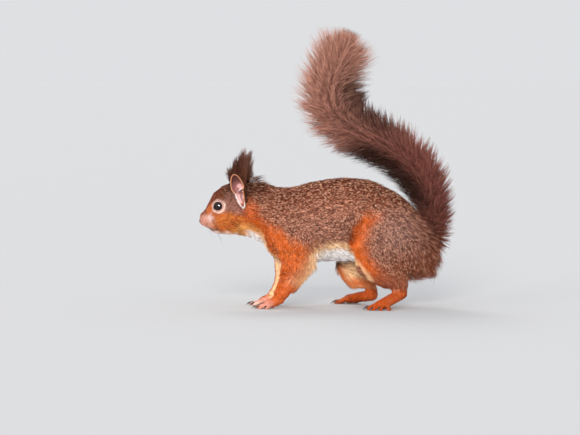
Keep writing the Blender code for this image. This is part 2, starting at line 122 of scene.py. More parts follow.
def pointsOf(piece):
    return rowsOf(piece.data.vertices, "co").astype(float) / mm


def setPoints(piece, points):
    piece.data.vertices.foreach_set("co", (points * mm).astype(np.float32).ravel())
    piece.data.update()


def normalsOf(piece):
    return rowsOf(piece.data.vertex_normals, "vector").astype(float)


def giveWeights(piece, name, weights):
    # in steps of a hundredth
    group = piece.vertex_groups.new(name=name)
    for level in np.unique(np.round(weights, 2)):
        members = np.flatnonzero(np.abs(weights - level) <= 0.005)
        group.add(members.tolist(), float(level), "REPLACE")


def giveTone(piece, name, values):
    rows = np.ones((len(values), 4), np.float32)
    rows[:, : values.shape[1]] = values
    attribute = piece.data.attributes.new(name, "FLOAT_COLOR", "POINT")
    attribute.data.foreach_set("color", rows.ravel())


def givePits(piece, depths):
    giveTone(piece, "pit", np.repeat(depths[:, None], 3, 1))


def wear(piece, look):
    piece.data.shade_smooth()
    piece.data.materials.append(materials[look])


def plain(name, count):
    return np.tile(tones[name], (count, 1))


def paint(tone, mask, name):
    return tone * (1 - mask[:, None]) + tones[name] * mask[:, None]


def unit(rows):
    return rows / np.maximum(np.linalg.norm(rows, axis=-1, keepdims=True), 1e-9)


def ramp(values, low, high):
    share = np.clip((values - low) / (high - low), 0, 1)
    return share * share * (3 - 2 * share)


def softNoise(points, size, seed):
    # smooth values from about -1 to 1 that change over the given size
    draw = seeded(seed)
    total = np.zeros(len(points))
    for _ in range(ripples["waves"]):
        way = unit(draw.normal(size=3))
        pace = fullTurn / size * draw.uniform(*ripples["paces"])
        total += np.sin(points @ way * pace + draw.uniform(0, fullTurn))
    return total / ripples["greatest"]


def alongPath(path, share):
    # points at shares (0 to 1) of a path's length
    path = np.array(path, float)
    steps = np.linalg.norm(np.diff(path, axis=0), axis=1)
    gone = np.concatenate([[0], np.cumsum(steps)]) / steps.sum()
    return np.stack([np.interp(share, gone, axis) for axis in path.T], -1)


# camera, floor and light

studio = {
    "aimShare": (0.3552, 0.5, 0.3194),  # of the solids' box
    "fieldLengths": 2.279,  # width of the view in lengths of the squirrel
    "distance": 4.0,
    "elevation": 2.5,
    "sensor": 36.0,
    "farthest": 100,
    "floorRadius": 12.0,
    "floorTone": (0.592, 0.598, 0.612, 1.0),
    "floorRoughness": 0.9,
    "worldTone": (0.80, 0.81, 0.83, 1.0),
    "worldStrength": 0.92,
    "suns": {  # name: (direction it comes from, strength, angle, tone)
        "key": ((-0.15, -2.4, 0.62), 2.9, 15, (1.0, 0.96, 0.90)),
        "fill": ((-1.6, -2.0, 0.3), 0.9, 40, (0.94, 0.97, 1.0)),
        "rim": ((-0.6, 2.2, 1.8), 0.8, 25, (1.0, 0.98, 0.95)),
    },
    "catchLight": ((0.30, -2.4, 0.75), 30, 12, (1.0, 1.0, 1.0)),  # falls on the eyes alone
}


def addSun(name, where, strength, angle, tone):
    bpy.ops.object.light_add(type="SUN", location=where)
    lamp = bpy.context.object
    lamp.name = name
    lamp.data.energy = strength
    lamp.data.angle = math.radians(angle)
    lamp.data.color = tone
    lamp.rotation_euler = Vector(where).to_track_quat("Z", "Y").to_euler()
    return lamp


def newMaterial(name):
    made = bpy.data.materials.new(name)
    made.use_nodes = True
    return made, made.node_tree, made.node_tree.nodes["Principled BSDF"]


def makeStudio(look):
    size = cadHigh - cadLow
    aim = Vector(cadLow[i] + look["aimShare"][i] * size[i] for i in range(3))
    tilt = math.radians(look["elevation"])
    place = aim + Vector((0, -math.cos(tilt), math.sin(tilt))) * look["distance"]
    clearSelection()
    bpy.ops.object.camera_add(location=place, rotation=(math.pi / 2 - tilt, 0, 0))
    camera = bpy.context.object
    camera.data.lens = look["sensor"] * look["distance"] / (look["fieldLengths"] * size.x)
    camera.data.sensor_width = look["sensor"]
    camera.data.clip_end = look["farthest"]
    bpy.context.scene.camera = camera
    for name, sun in look["suns"].items():
        addSun(name, *sun)
    world = bpy.data.worlds.new("studio")
    world.use_nodes = True
    sky = world.node_tree.nodes["Background"]
    sky.inputs["Color"].default_value = look["worldTone"]
    sky.inputs["Strength"].default_value = look["worldStrength"]
    bpy.context.scene.world = world
    bpy.context.scene.view_settings.view_transform = "Standard"
    clearSelection()
    bpy.ops.mesh.primitive_circle_add(vertices=96, radius=look["floorRadius"], fill_type="NGON")
    floor = bpy.context.object
    floor.name = "floor"
    paper, _, shader = newMaterial("pale_paper")
    shader.inputs["Base Color"].default_value = look["floorTone"]
    shader.inputs["Roughness"].default_value = look["floorRoughness"]
    floor.data.materials.append(paper)


makeStudio(studio)
print("studio ready")

# shader groups and materials


def linear(red, green, blue):
    # a colour written 0 to 255, as the shader wants it
    return tuple(((c / 255 + 0.055) / 1.055) ** 2.4 for c in (red, green, blue))


def newGroup(name, inputs, outputs):
    group = bpy.data.node_groups.new(name, "ShaderNodeTree")
    for label, kind, value in inputs:
        socket = group.interface.new_socket(label, in_out="INPUT", socket_type=kind)
        socket.default_value = value
    for label, kind in outputs:
        group.interface.new_socket(label, in_out="OUTPUT", socket_type=kind)
    return group, group.nodes.new("NodeGroupInput"), group.nodes.new("NodeGroupOutput")


def feed(group, sockets, values):
    # a value is a number, a colour, or what another node puts out
    for socket, value in zip(sockets, values):
        if isinstance(value, (int, float)):
            socket.default_value = value
        elif isinstance(value, tuple):
            socket.default_value = (*value[:3], 1.0)
        else:
            group.links.new(value, socket)


def setInputs(node, values):
    for label, value in values.items():
        node.inputs[label].default_value = value


def mathNode(group, operation, *values):
    node = group.nodes.new("ShaderNodeMath")
    node.operation = operation
    feed(group, node.inputs, values)
    return node.outputs[0]


def mixNode(group, blend, *values):
    node = group.nodes.new("ShaderNodeMix")
    node.data_type = "RGBA"
    node.blend_type = blend
    feed(group, (node.inputs["Factor"], node.inputs[6], node.inputs[7]), values)
    return node.outputs[2]


def noiseNode(group, size, detail=3.0):
    coordinates = group.nodes.new("ShaderNodeTexCoord")
    node = group.nodes.new("ShaderNodeTexNoise")
    setInputs(node, {"Scale": 1 / (size * mm), "Detail": detail})
    group.links.new(coordinates.outputs["Object"], node.inputs["Vector"])
    return node.outputs["Fac"]


def stepNode(group, value, low, high):
    # rises smoothly from 0 at low to 1 at high, or falls where high is the lower
    node = group.nodes.new("ShaderNodeMapRange")
    node.interpolation_type = "SMOOTHSTEP"
    group.links.new(value, node.inputs["Value"])
    setInputs(node, {"From Min": min(low, high), "From Max": max(low, high)})
    setInputs(node, {"To Min": float(low > high), "To Max": float(low <= high)})
    return node.outputs["Result"]


fur = {
    "inputs": (
        ("Tone", "NodeSocketColor", (0.5, 0.3, 0.2, 1)),
        ("Lock", "NodeSocketColor", (0.5, 0.5, 0, 1)),
        ("Light Band", "NodeSocketColor", (0.6, 0.4, 0.3, 1)),
        ("Dark Band", "NodeSocketColor", (0.05, 0.03, 0.02, 1)),
        ("Root Shade", "NodeSocketFloat", 0.4),
        ("Patchiness", "NodeSocketFloat", 0.15),
    ),
    "outputs": (("Colour", "NodeSocketColor"), ("Roughness", "NodeSocketFloat")),
    "rootward": (0.75, 0.0),  # shares of a lock's length
    "bandStart": (0.42, 0.50),
    "bandEnd": (0.80, 0.70),
    "light": (0.59, 0.67),  # shares of the locks
    "dark": (0.44, 0.34),
    "darkest": 0.92,
    "level": 1.05,
    "patch": 9.0,
    "roughness": (0.50, 0.14),  # least, and how much it grows
    "gloss": 0.07,
    "sheenRoughness": 0.4,
    "relief": (0.3, 0.7, 4.0),  # depth, size and detail
}


def makeFurGroup():
    # tone of a lock: darker at its root, with a light or dark band near the tip on some locks
    group, given, result = newGroup("furTone", fur["inputs"], fur["outputs"])
    parts = group.nodes.new("ShaderNodeSeparateColor")
    group.links.new(given.outputs["Lock"], parts.inputs[0])
    strand, along, fleck = parts.outputs

    def times(first, second):
        return mathNode(group, "MULTIPLY", first, second)

    def step(value, name):
        return stepNode(group, value, *fur[name])

    shade = times(step(along, "rootward"), given.outputs["Root Shade"])
    lit = mathNode(group, "SUBTRACT", fur["level"], shade)
    patches = mathNode(group, "SUBTRACT", noiseNode(group, fur["patch"]), 0.5)
    level = mathNode(group, "ADD", lit, times(patches, given.outputs["Patchiness"]))
    grey = group.nodes.new("ShaderNodeCombineColor")
    for socket in grey.inputs:
        group.links.new(level, socket)
    tone = mixNode(group, "MULTIPLY", 1.0, given.outputs["Tone"], grey.outputs[0])
    band = times(step(along, "bandEnd"), times(step(along, "bandStart"), fleck))
    light = times(step(strand, "light"), band)
    tone = mixNode(group, "MIX", light, tone, given.outputs["Light Band"])
    dark = times(times(step(strand, "dark"), band), fur["darkest"])
    tone = mixNode(group, "MIX", dark, tone, given.outputs["Dark Band"])
    group.links.new(tone, result.inputs["Colour"])
    least, more = fur["roughness"]
    group.links.new(mathNode(group, "ADD", times(strand, more), least), result.inputs["Roughness"])
    return group


furTone = makeFurGroup()


def attributeNode(tree, name):
    node = tree.nodes.new("ShaderNodeAttribute")
    node.attribute_name = name
    return node.outputs["Color"]


def addRelief(tree, shader, strength, depth, size, detail=3.0):
    relief = tree.nodes.new("ShaderNodeBump")
    setInputs(relief, {"Strength": strength, "Distance": depth * mm})
    tree.links.new(noiseNode(tree, size, detail), relief.inputs["Height"])
    tree.links.new(relief.outputs[0], shader.inputs["Normal"])


def furMaterial(name, rootShade, patchiness, bands, sheen=0.0, bump=0.0):
    made, tree, shader = newMaterial(name)
    tone = tree.nodes.new("ShaderNodeGroup")
    tone.node_tree = furTone
    setInputs(tone, {"Root Shade": rootShade, "Patchiness": patchiness})
    for label, shade in zip(("Light Band", "Dark Band"), bands):
        tone.inputs[label].default_value = (*linear(*shade), 1.0)
    for label in ("Tone", "Lock"):
        tree.links.new(attributeNode(tree, label.lower()), tone.inputs[label])
    tree.links.new(tone.outputs["Colour"], shader.inputs["Base Color"])
    tree.links.new(tone.outputs["Roughness"], shader.inputs["Roughness"])
    setInputs(shader, {"Specular IOR Level": fur["gloss"], "Sheen Weight": sheen})
    setInputs(shader, {"Sheen Roughness": fur["sheenRoughness"]})
    if bump:
        addRelief(tree, shader, bump, *fur["relief"])
    return made


def plainMaterial(name, shades, size, roughness, bump=0.0, level=0.5, pit=None):
    # two tones mottled by noise of one size, and a third in the pits
    made, tree, shader = newMaterial(name)
    mottle = noiseNode(tree, size)
    tone = mixNode(tree, "MIX", mottle, *(linear(*shade) for shade in shades))
    if pit:
        tone = mixNode(tree, "MIX", attributeNode(tree, "pit"), tone, linear(*pit))
    tree.links.new(tone, shader.inputs["Base Color"])
    low = mathNode(tree, "MULTIPLY", mottle, roughness * 0.3)
    tree.links.new(mathNode(tree, "ADD", low, roughness), shader.inputs["Roughness"])
    setInputs(shader, {"Specular IOR Level": level})
    if bump:
        addRelief(tree, shader, bump, 0.15, size * 0.4)
    return made


bodyBands = ((234, 180, 150), (34, 17, 11))
tailBands = ((176, 128, 114), (46, 25, 20))
materials = {
    "coat": furMaterial("coat_hair", 0.34, 0.25, bodyBands),
    "tail": furMaterial("tail_hair", 0.18, 0.25, tailBands, sheen=0.02),
    "tuft": furMaterial("ear_tuft_hair", 0.30, 0.15, tailBands, sheen=0.02),
    "skin": furMaterial("coat_skin", 0.0, 0.20, bodyBands, bump=0.6),
    "ear": furMaterial("ear_skin", 0.0, 0.25, bodyBands, bump=0.35),
}
plainLooks = {  # two tones, size of the mottling, roughness, and what else a look has
    "eye_gloss": (((6, 4, 4), (12, 7, 6)), 4.0, 0.03, {"level": 0.22}),
    "lid_skin": (((200, 150, 138), (230, 190, 178)), 0.8, 0.5, {"bump": 0.3, "pit": (40, 22, 20)}),
    "claw_horn": (((44, 34, 36), (92, 74, 70)), 1.6, 0.25, {"bump": 0.2}),
    "nose_skin": (((118, 66, 56), (160, 104, 90)), 0.9, 0.38, {"bump": 0.5, "pit": (46, 24, 22)}),
    "whisker_hair": (((40, 26, 22), (70, 48, 40)), 5.0, 0.35, {}),
}
for name, (*look, more) in plainLooks.items():
    materials[name.split("_")[0]] = plainMaterial(name, *look, **more)
shades = {  # colours written 0 to 255
    "brown": (160, 94, 70),
    "back": (112, 54, 38),
    # the coat's greyer tone, laid with a painted sheen
    "lilacGreyAndSheen": (158, 119, 109),
    "crown": (72, 38, 25),
    "forehead": (104, 44, 20),
    "greyPatch": (122, 80, 70),
    "orange": (218, 102, 30),
    "cheek": (188, 92, 34),
    "rust": (196, 84, 12),
    "amber": (226, 160, 92),
    "tailRoot": (104, 56, 46),
    "padSpot": (176, 112, 104),
    "gold": (204, 124, 50),
    "deepOrange": (186, 78, 22),
    "redBrown": (150, 82, 56),
    "cream": (250, 208, 160),
    "white": (255, 252, 252),
    "eyeRing": (240, 206, 192),
    "muzzle": (196, 142, 124),
    "hand": (232, 172, 156),
    "dark": (70, 38, 28),
    "mouth": (60, 34, 30),
    "shade": (84, 44, 24),
    "tail": (134, 78, 68),
    "tailTip": (204, 150, 130),
    "tailDark": (36, 17, 10),
    "tuft": (84, 44, 30),
    "tuftTip": (122, 82, 66),
    "earHollow": (150, 98, 96),
    "earDeepShade": (84, 50, 46),
    "earPale": (218, 172, 170),
    "earWhite": (250, 234, 230),
    "earSlitShade": (64, 26, 25),
    "earRim": (206, 142, 108),
    "earBack": (112, 68, 50),
}
tones = {name: np.array(linear(*shade)) for name, shade in shades.items()}
print("materials ready")

# the skin: one surface from the solids of flesh, with finer feet and a core for the tail

skin = {
    "voxel": 0.5,
    "closeGaps": 0.28,
    "smoothing": 150,
    "deepest": 2.4,  # the coat's greatest depth
    "faces": 188000,
    "tailFrom": (112, 8),  # above this height, and this near the middle, is the tail's core
    "fineHead": (-80, -76),  # in front of this X and below this height it isn't made coarser
    "fineFeet": (7, 10),
}
# how far the skin lies under the coat's surface, by height on the legs and by X on the head
depthByHeight = ((4, 9, 18, 32, 45), (0.25, 0.5, 0.9, 1.5, 2.4))
depthByReach = ((-104, -97, -88, -72, -58), (0.25, 0.5, 0.8, 1.5, 2.4))
# share of the smoothing, in the same way
softByHeight = ((6, 14, 34, 48), (0.03, 0.12, 0.4, 1.0))
softByReach = ((-100, -88, -66, -54), (0.16, 0.28, 0.5, 1.0))
softOnTail = 0.3
tailLine = (
    (81, 0, 42), (87.5, 0, 56), (88.5, 0, 72), (87.5, 0, 85), (85, 0, 97), (77.5, 0, 112.5),
    (62.5, 0, 127.5), (44, 0, 138.5), (26, 0, 146), (11.2, 0, 154.5), (3.2, 0, 166),
    (1.5, 0, 180), (6, 0, 195), (11.5, 0, 208.5),
)  # fmt: skip
tailReach = 24.0
tailCore = (6.0, 1.5)
feet = {
    "forefoot": {
        "soles": {
            left: ((-39.5, 21.5, 7.8), (-46.5, 23.7, 4.2)),
            right: ((-44.5, 20.3, 7.6), (-51.5, 22.0, 4.2)),
        },
        "ankles": {
            left: ((-33.0, 20.7, 19.0, 7.0), (-37.0, 21.2, 13.0, 6.2), (-41.0, 21.7, 8.0, 5.0)),
            right: ((-38.2, 19.2, 18.0, 6.2), (-41.0, 19.7, 12.5, 5.6), (-45.6, 20.3, 7.8, 4.8)),
        },
        "halfWidths": (4.6, 5.5),
        "halfHeights": (4.4, 3.7),
        "toes": ((-34, 8.0), (-11, 10.5), (12, 10.5), (38, 8.0)),
        "radius": 1.65,
        "claw": 4.8,
    },
    "hindfoot": {
        "soles": {
            left: ((61.5, 19.5, 12.5), (45.5, 40.5, 4.6)),
            right: ((37.5, 19.5, 9.0), (21.5, 40.0, 4.6)),
        },
        "ankles": {
            left: ((60.0, 21.8, 17.5, 6.4), (61.2, 20.5, 13.5, 5.6)),
            right: ((36.2, 21.8, 13.5, 6.2), (37.3, 20.5, 10.0, 5.6)),
        },
        "halfWidths": (5.0, 6.8),
        "halfHeights": (5.0, 4.1),
        "toes": ((-38, 8.0), (-17, 12.0), (1, 13.0), (19, 12.0), (44, 8.5)),
        "radius": 1.85,
        "claw": 5.2,
    },
}


def copyOfNode(name):
    piece = bpy.data.objects.new("flesh_" + name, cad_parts[name].data.copy())
    bpy.context.scene.collection.objects.link(piece)
    editAll(piece)
    bpy.ops.mesh.remove_doubles(threshold=1e-6)
    endEdit()
    return finishWith(piece, "DISPLACE", strength=skin["closeGaps"] * mm, mid_level=0.0)


def addBall(segments, rings, radius=1, **where):
    clearSelection()
    bpy.ops.mesh.primitive_uv_sphere_add(segments=segments, ring_count=rings, radius=radius, **where)
    return bpy.context.object


def roundBone(start, end, startRadius, endRadius):
    # a tapered rod with a ball at its far end
    start, end = Vector(start) * mm, Vector(end) * mm
    clearSelection()
    bpy.ops.mesh.primitive_cone_add(
        vertices=16,
        radius1=startRadius * mm,
        radius2=endRadius * mm,
        depth=(end - start).length,
        location=(start + end) / 2,
        rotation=(end - start).to_track_quat("Z", "Y").to_euler(),
    )
    rod = settle(bpy.context.object)
    return [rod, settle(addBall(16, 10, endRadius * mm, location=end))]


def flatBall(place, radii, heading=0.0):
    ball = addBall(20, 14, location=Vector(place) * mm, rotation=(0, 0, heading))
    ball.scale = Vector(radii) * mm
    return settle(ball)


def toeRows(kind, side):
    # (root, knuckle, tip, direction) of every toe of one foot
    foot = feet[kind]
    start, end = (Vector((p[0], side * p[1], p[2])) for p in foot["soles"][side])
    heading = math.atan2(end.y - start.y, end.x - start.x)
    across = Vector((-math.sin(heading), math.cos(heading), 0))
    widest = max(abs(turn) for turn, _ in foot["toes"])
    rows = []
    for turn, length in foot["toes"]:
        aim = heading + math.radians(turn)
        ahead = Vector((math.cos(aim), math.sin(aim), 0))
        root = end + across * (foot["halfWidths"][1] * 0.74 * turn / widest)
        low = foot["radius"] - 0.35
        knuckle = root + ahead * length * 0.48
        knuckle.z = low + foot["radius"] * 1.05
        tip = root + ahead * length
        tip.z = low
        rows.append((root, knuckle, tip, ahead))
    return start, end, heading, rows


def makeFoot(kind, side):
    foot = feet[kind]
    start, end, heading, rows = toeRows(kind, side)
    bodies = []
    ankle = foot["ankles"][side]
    for (*above, startRadius), (*below, endRadius) in zip(ankle, ankle[1:]):
        turned = [(x, side * y, z) for x, y, z in (above, below)]
        bodies += roundBone(*turned, startRadius, endRadius)
    for share in np.linspace(0, 1, 9):
        wide, tall = (a + share * (b - a) for a, b in (foot["halfWidths"], foot["halfHeights"]))
        place = start.lerp(end, share)
        place.z = max(place.z, tall + 0.1)
        bodies.append(flatBall(place, (wide * 1.05, wide, tall), heading))
    radius = foot["radius"]
    for root, knuckle, tip, ahead in rows:
        bodies += roundBone(root, knuckle, radius * 1.15, radius * 1.08)
        bodies += roundBone(knuckle, tip, radius * 0.92, radius)
        bodies.append(flatBall(tip + ahead * 0.3 - Vector((0, 0, 0.1)), (radius * 1.15,) * 3))
    return bodies


def makeSkin():
    softNodes = [
        name
        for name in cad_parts
        if not name.startswith(("eye", "ear", "tail", "forefoot", "hindfoot"))
    ]
    parts = [copyOfNode(name) for name in softNodes]
    for kind in feet:
        for side in sideNames:
            parts += makeFoot(kind, side)
    shares = np.linspace(0, 1, 26)
    core = alongPath(tailLine, shares)
    for i in range(len(core) - 1):
        thick = np.interp(shares[i : i + 2], (0, 1), tailCore)
        parts += roundBone(core[i], core[i + 1], thick[0], thick[1])
    body = joinAll(parts, "skin")
    finishWith(body, "REMESH", mode="VOXEL", voxel_size=skin["voxel"] * mm, use_smooth_shade=True)
    points = pointsOf(body)
    x, _, z = points.T
    onTail = np.where((z > 115) | (z > 85) & (x > 60), softOnTail, 1.0)
    soft = np.minimum(np.interp(z, *softByHeight), np.interp(x, *softByReach))
    giveWeights(body, "soften", np.minimum(soft, onTail))
    finishWith(body, "SMOOTH", vertex_group="soften", factor=0.5, iterations=skin["smoothing"])
    x, y, z = pointsOf(body).T
    depth = np.minimum(np.interp(z, *depthByHeight), np.interp(x, *depthByReach))
    lowest, widest = skin["tailFrom"]
    depth[(z > lowest) & (np.abs(y) < widest)] = 0.0
    giveWeights(body, "depth", depth / skin["deepest"])
    finishWith(body, "DISPLACE", strength=-skin["deepest"] * mm, mid_level=0.0, vertex_group="depth")
    body.data.calc_loop_triangles()
    count = len(body.data.loop_triangles)
    print("skin remeshed to", count, "triangles")
    if count > skin["faces"]:
        # the head and the feet stay as fine as they are
        x, _, z = pointsOf(body).T
        coarse = np.minimum(ramp(x, *skin["fineHead"]), ramp(z, *skin["fineFeet"]))
        giveWeights(body, "coarse", 0.5 + 0.5 * coarse)
        finishWith(body, "DECIMATE", ratio=skin["faces"] / count, vertex_group="coarse")
    body.vertex_groups.clear()
    return body


body = makeSkin()
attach(body, "root")
fleshNodes = [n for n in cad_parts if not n.startswith(("eye", "ear", "tail"))]
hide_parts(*fleshNodes)
body.data.materials.clear()
wear(body, "skin")
print("skin made")

# eyes and the skin round them

eye = {
    "centre": (-89.9, 9.4, 84.2),
    "radius": 4.4,
    "gaze": (-0.14, 0.985, 0.02),
    "opening": 3.5,
    "lid": (3.42, 4.5),  # inner and outer edges of the lid's band
    "corner": (1.0, -0.55),  # the sharp corner: forwards and down
    "stretch": 0.17,  # how far the opening runs out to its corner, as a share
    "stretchWidth": 0.32,  # radians
    "cornea": 0.22,
    "lidOver": 0.2,  # height of the band's middle over the ball
    "lidHalf": 0.26,  # half its thickness
    "pitBand": (0.42, 0.22),  # the dark edge, from its inner edge
}


def eyeFrame(side):
    # centre, gaze, and the directions to the front and to the top of the eye
    centre = np.array(eye["centre"]) * (1, side, 1)
    gaze = unit(np.array(eye["gaze"]) * (1, side, 1))
    up = unit(np.array([0, 0, 1]) - gaze * gaze[2])
    front = np.cross(gaze, up) * -side
    return centre, gaze, front * np.sign(-front[0]), up


def eyeReach(points, side):
    # distance of each place from the line of gaze, less where the corner stretches the opening
    centre, gaze, front, up = eyeFrame(side)
    offset = points - centre
    ahead, high = offset @ front, offset @ up
    turn = np.arctan2(high, ahead) - math.atan2(eye["corner"][1], eye["corner"][0])
    turn = np.angle(np.exp(1j * turn))
    stretch = 1 + eye["stretch"] * np.exp(-((turn / eye["stretchWidth"]) ** 2))
    return np.hypot(ahead, high) / stretch, offset @ gaze


muzzleShape = {
    "reach": (-92, -99),  # X where the slimming starts and where it is full
    "slim": 0.10,
    "chin": (70, 65),  # the same in height, for the lifted underside
    "lift": 1.0,
}
socket = {
    "under": -0.55,  # the skin's height over the ball inside the opening
    "rise": 0.85,
    "edge": (-0.25, 0.30),  # where it rises, from the edge of the opening
    "hold": (0.86, 1.30),  # in the ball's radii
    "brow": (1.9, 0.5),  # width and height of the swelling round the eye
}


def sculptHead(piece):
    # slims the muzzle and lifts its underside, then lays the skin just under the eyeball inside
    # the opening and just over it outside
    points = pointsOf(piece)
    ahead = ramp(points[:, 0], *muzzleShape["reach"])
    points[:, 1] *= 1 - muzzleShape["slim"] * ahead
    points[:, 2] += muzzleShape["lift"] * ahead * ramp(points[:, 2], *muzzleShape["chin"])
    browWidth, browHeight = socket["brow"]
    edges = [eye["opening"] + edge for edge in socket["edge"]]
    holds = [eye["radius"] * hold for hold in socket["hold"]]
    for side in sideNames:
        gaze = eyeFrame(side)[1]
        reach, height = eyeReach(points, side)
        near = (height > -2.0) & (reach < 9) & (points[:, 1] * side > 0)
        over = socket["under"] + socket["rise"] * ramp(reach, *edges)
        dome = np.sqrt(np.maximum((eye["radius"] + over) ** 2 - reach**2, 0.0))
        hold = near * (1 - ramp(reach, *holds))
        points += gaze * (hold * (dome - height))[:, None]
        brow = np.exp(-(((reach - eye["radius"]) / browWidth) ** 2)) * near * (1 - hold)
        points += gaze * (brow * browHeight)[:, None]
    setPoints(piece, points)


def dent(piece, path, radius, depth, seen=(1, 1, 1)):
    # presses a soft groove along a path, given on one side and made on both. With seen as
    # (1, 0, 1) the path is where the groove lies as seen from the side
    points = pointsOf(piece)
    normals = normalsOf(piece)
    for side in sideNames:
        gap = gapToPath(points * seen, np.array(path) * (1, side, 1) * seen)
        groove = depth * np.exp(-gap / radius**2) * ramp(points[:, 1] * side, -0.2, 0.4)
        points -= normals * groove[:, None]
    setPoints(piece, points)


def gapToPath(points, path):
    # squared distance of each point from a path
    gap = np.full(len(points), 1e9)
    for spot in alongPath(path, np.linspace(0, 1, 24)):
        gap = np.minimum(gap, ((points - spot) ** 2).sum(1))
    return gap


mouthLine = (
    (-103.6, 0.4, 67.2), (-101.2, 3.2, 66.0), (-97.5, 5.6, 64.8), (-93.5, 7.6, 63.9),
    (-90.5, 9.0, 64.4),
)  # fmt: skip
padCrease = ((-94.6, 9.4, 71.5), (-92.9, 9.6, 68.5), (-91.0, 9.5, 65.6))
lipCleft = ((-105.2, 0.0, 70.0), (-104.6, 0.0, 68.4), (-103.6, 0.0, 67.0))
sideOn = (1, 0, 1)
sculptHead(body)
dent(body, mouthLine, 0.6, 0.9, sideOn)
dent(body, padCrease, 0.7, 0.5, sideOn)
dent(body, lipCleft, 0.5, 0.5)


def turnTo(axis, up):
    # a rotation that brings Z to the axis and Y to the up direction
    axis, up = Vector(axis).normalized(), Vector(up).normalized()
    return Matrix((up.cross(axis), up, axis)).transposed()


def setOnEye(piece, side, look):
    # a piece modelled round the origin, its top towards +Z, goes to the eye
    centre, gaze, _, up = eyeFrame(side)
    piece.data.transform(Matrix.Translation(Vector(centre) * mm) @ turnTo(gaze, up).to_4x4())
    wear(piece, look)
    return piece


def makeEye(side):
    ball = addBall(48, 32, eye["radius"] * mm)
    ball.name = "eyeball_" + sideNames[side]
    points = pointsOf(ball)
    # the cornea stands a little proud of the ball
    points[:, 2] += eye["cornea"] * ramp(points[:, 2] / eye["radius"], 0.55, 0.95)
    setPoints(ball, points)
    return setOnEye(ball, side, "eye")


def makeLid(side):
    # a band over the edge of the opening, which hugs the eyeball and runs to a corner in front
    _, gaze, front, up = eyeFrame(side)
    inner, outer = eye["lid"]
    middle, half = (inner + outer) / 2, (outer - inner) / 2
    clearSelection()
    bpy.ops.mesh.primitive_torus_add(
        major_segments=80, minor_segments=14, major_radius=middle * mm, minor_radius=half * mm
    )
    ring = bpy.context.object
    ring.name = "lid_" + sideNames[side]
    points = pointsOf(ring)
    around = np.arctan2(points[:, 1], points[:, 0])
    # the ring's own X runs to the left of its top, so the corner's side depends on the eye
    toFront = float(np.dot(np.cross(up, gaze), front))
    corner = math.atan2(eye["corner"][1], eye["corner"][0] * toFront)
    turn = np.angle(np.exp(1j * (around - corner)))
    reach = np.linalg.norm(points[:, :2], axis=1)
    newReach = reach + middle * eye["stretch"] * np.exp(-((turn / eye["stretchWidth"]) ** 2))
    dome = np.sqrt(np.maximum((eye["radius"] + eye["lidOver"]) ** 2 - reach**2, 0.1))
    points[:, :2] *= (newReach / reach)[:, None]
    points[:, 2] = dome + points[:, 2] * eye["lidHalf"] / half
    setPoints(ring, points)
    givePits(ring, ramp(reach, *(inner + band for band in eye["pitBand"])))
    return setOnEye(ring, side, "lid")


for side in sideNames:
    ball = makeEye(side)
    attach(ball, "root")
    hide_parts("eye_" + sideNames[side])
lids = joinAll([makeLid(side) for side in sideNames], "eyelids")
lit = bpy.data.collections.new("eyes_lit")
for side in sideNames:
    lit.objects.link(bpy.data.objects["eyeball_" + sideNames[side]])
addSun("catch", *studio["catchLight"]).light_linking.receiver_collection = lit
clearSelection()
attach(lids, "root")
print("eyes set")

# nose

nose = {
    "centre": (-104.1, 0.0, 72.2),
    "radii": (2.0, 2.6, 3.0),
    "tilt": 16,  # degrees that its top leans back
    "nostrils": ((-105.3, 1.2, 70.8), (-104.5, 2.1, 70.3), (-103.4, 2.4, 70.5), (-102.4, 2.9, 71.0)),
    "pitRadius": 0.65,
    "groove": ((-106.2, 0.0, 74.0), (-106.2, 0.0, 71.6), (-105.4, 0.0, 69.2)),
}


def makeNose():
    pad = addBall(64, 48)
    pad.name = "nose_pad"
    pad.scale = Vector(nose["radii"]) * mm
    pad.rotation_euler = (0, math.radians(nose["tilt"]), 0)
    pad.location = Vector(nose["centre"]) * mm
    settle(pad)
    dent(pad, nose["nostrils"], 0.5, 0.8)
    dent(pad, nose["groove"], 0.35, 0.22)
    # the nostrils' pits carry painted shade
    nostrils = (np.array(nose["nostrils"]) * (1, side, 1) for side in sideNames)
    gap = np.minimum(*(gapToPath(pointsOf(pad), path) for path in nostrils))
    givePits(pad, np.exp(-gap / nose["pitRadius"] ** 2))
    wear(pad, "nose")
    return pad


pad = makeNose()
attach(pad, "root")
print("nose made")

# ears

ear = {
    "middle": (-72.2, 15.0, 97.2),
    "radii": (7.0, 5.0, 14.4),
    "wall": 0.5,
    "lean": 17,  # degrees forwards from upright
    "splay": 4,
    "facing": 30,
    "cut": 0.30,
    "notch": 0.02,  # its height in the rear edge, as a share of the half height
}


def earPlace(side):
    middle = Vector(ear["middle"]) * mm
    return (
        Matrix.Translation((middle.x, side * middle.y, middle.z))
        @ Matrix.Rotation(math.radians(-side * ear["splay"]), 4, "X")
        @ Matrix.Rotation(math.radians(-ear["lean"]), 4, "Y")
        @ Matrix.Rotation(math.radians(side * ear["facing"]), 4, "Z")
        @ Matrix.Diagonal((1.0, -side, 1.0, 1.0))
    )


def earShape(points):
    # the cup's outline: full and round above, narrow below, with a notch in its rear edge
    high = points[:, 2] / ear["radii"][2]
    narrow = np.interp(high, (-1, -0.6, -0.14, 0.14, 0.4, 1), (0.56, 0.53, 0.58, 0.90, 0.92, 0.90))
    shaped = points.copy()
    shaped[:, 0] *= narrow
    shaped[:, 0] += np.interp(high, (-1, 0.1, 1), (-0.7, -0.6, -0.3))
    notch = np.exp(-(((high - ear["notch"]) / 0.07) ** 2)) * ramp(points[:, 0], 1.0, 4.5)
    shaped[:, 0] -= 0.7 * notch
    return shaped


def ovalMask(across, high, centre, radii):
    reach = np.hypot((across - centre[0]) / radii[0], (high - centre[1]) / radii[1])
    return 1 - ramp(reach, 0.55, 1.25)


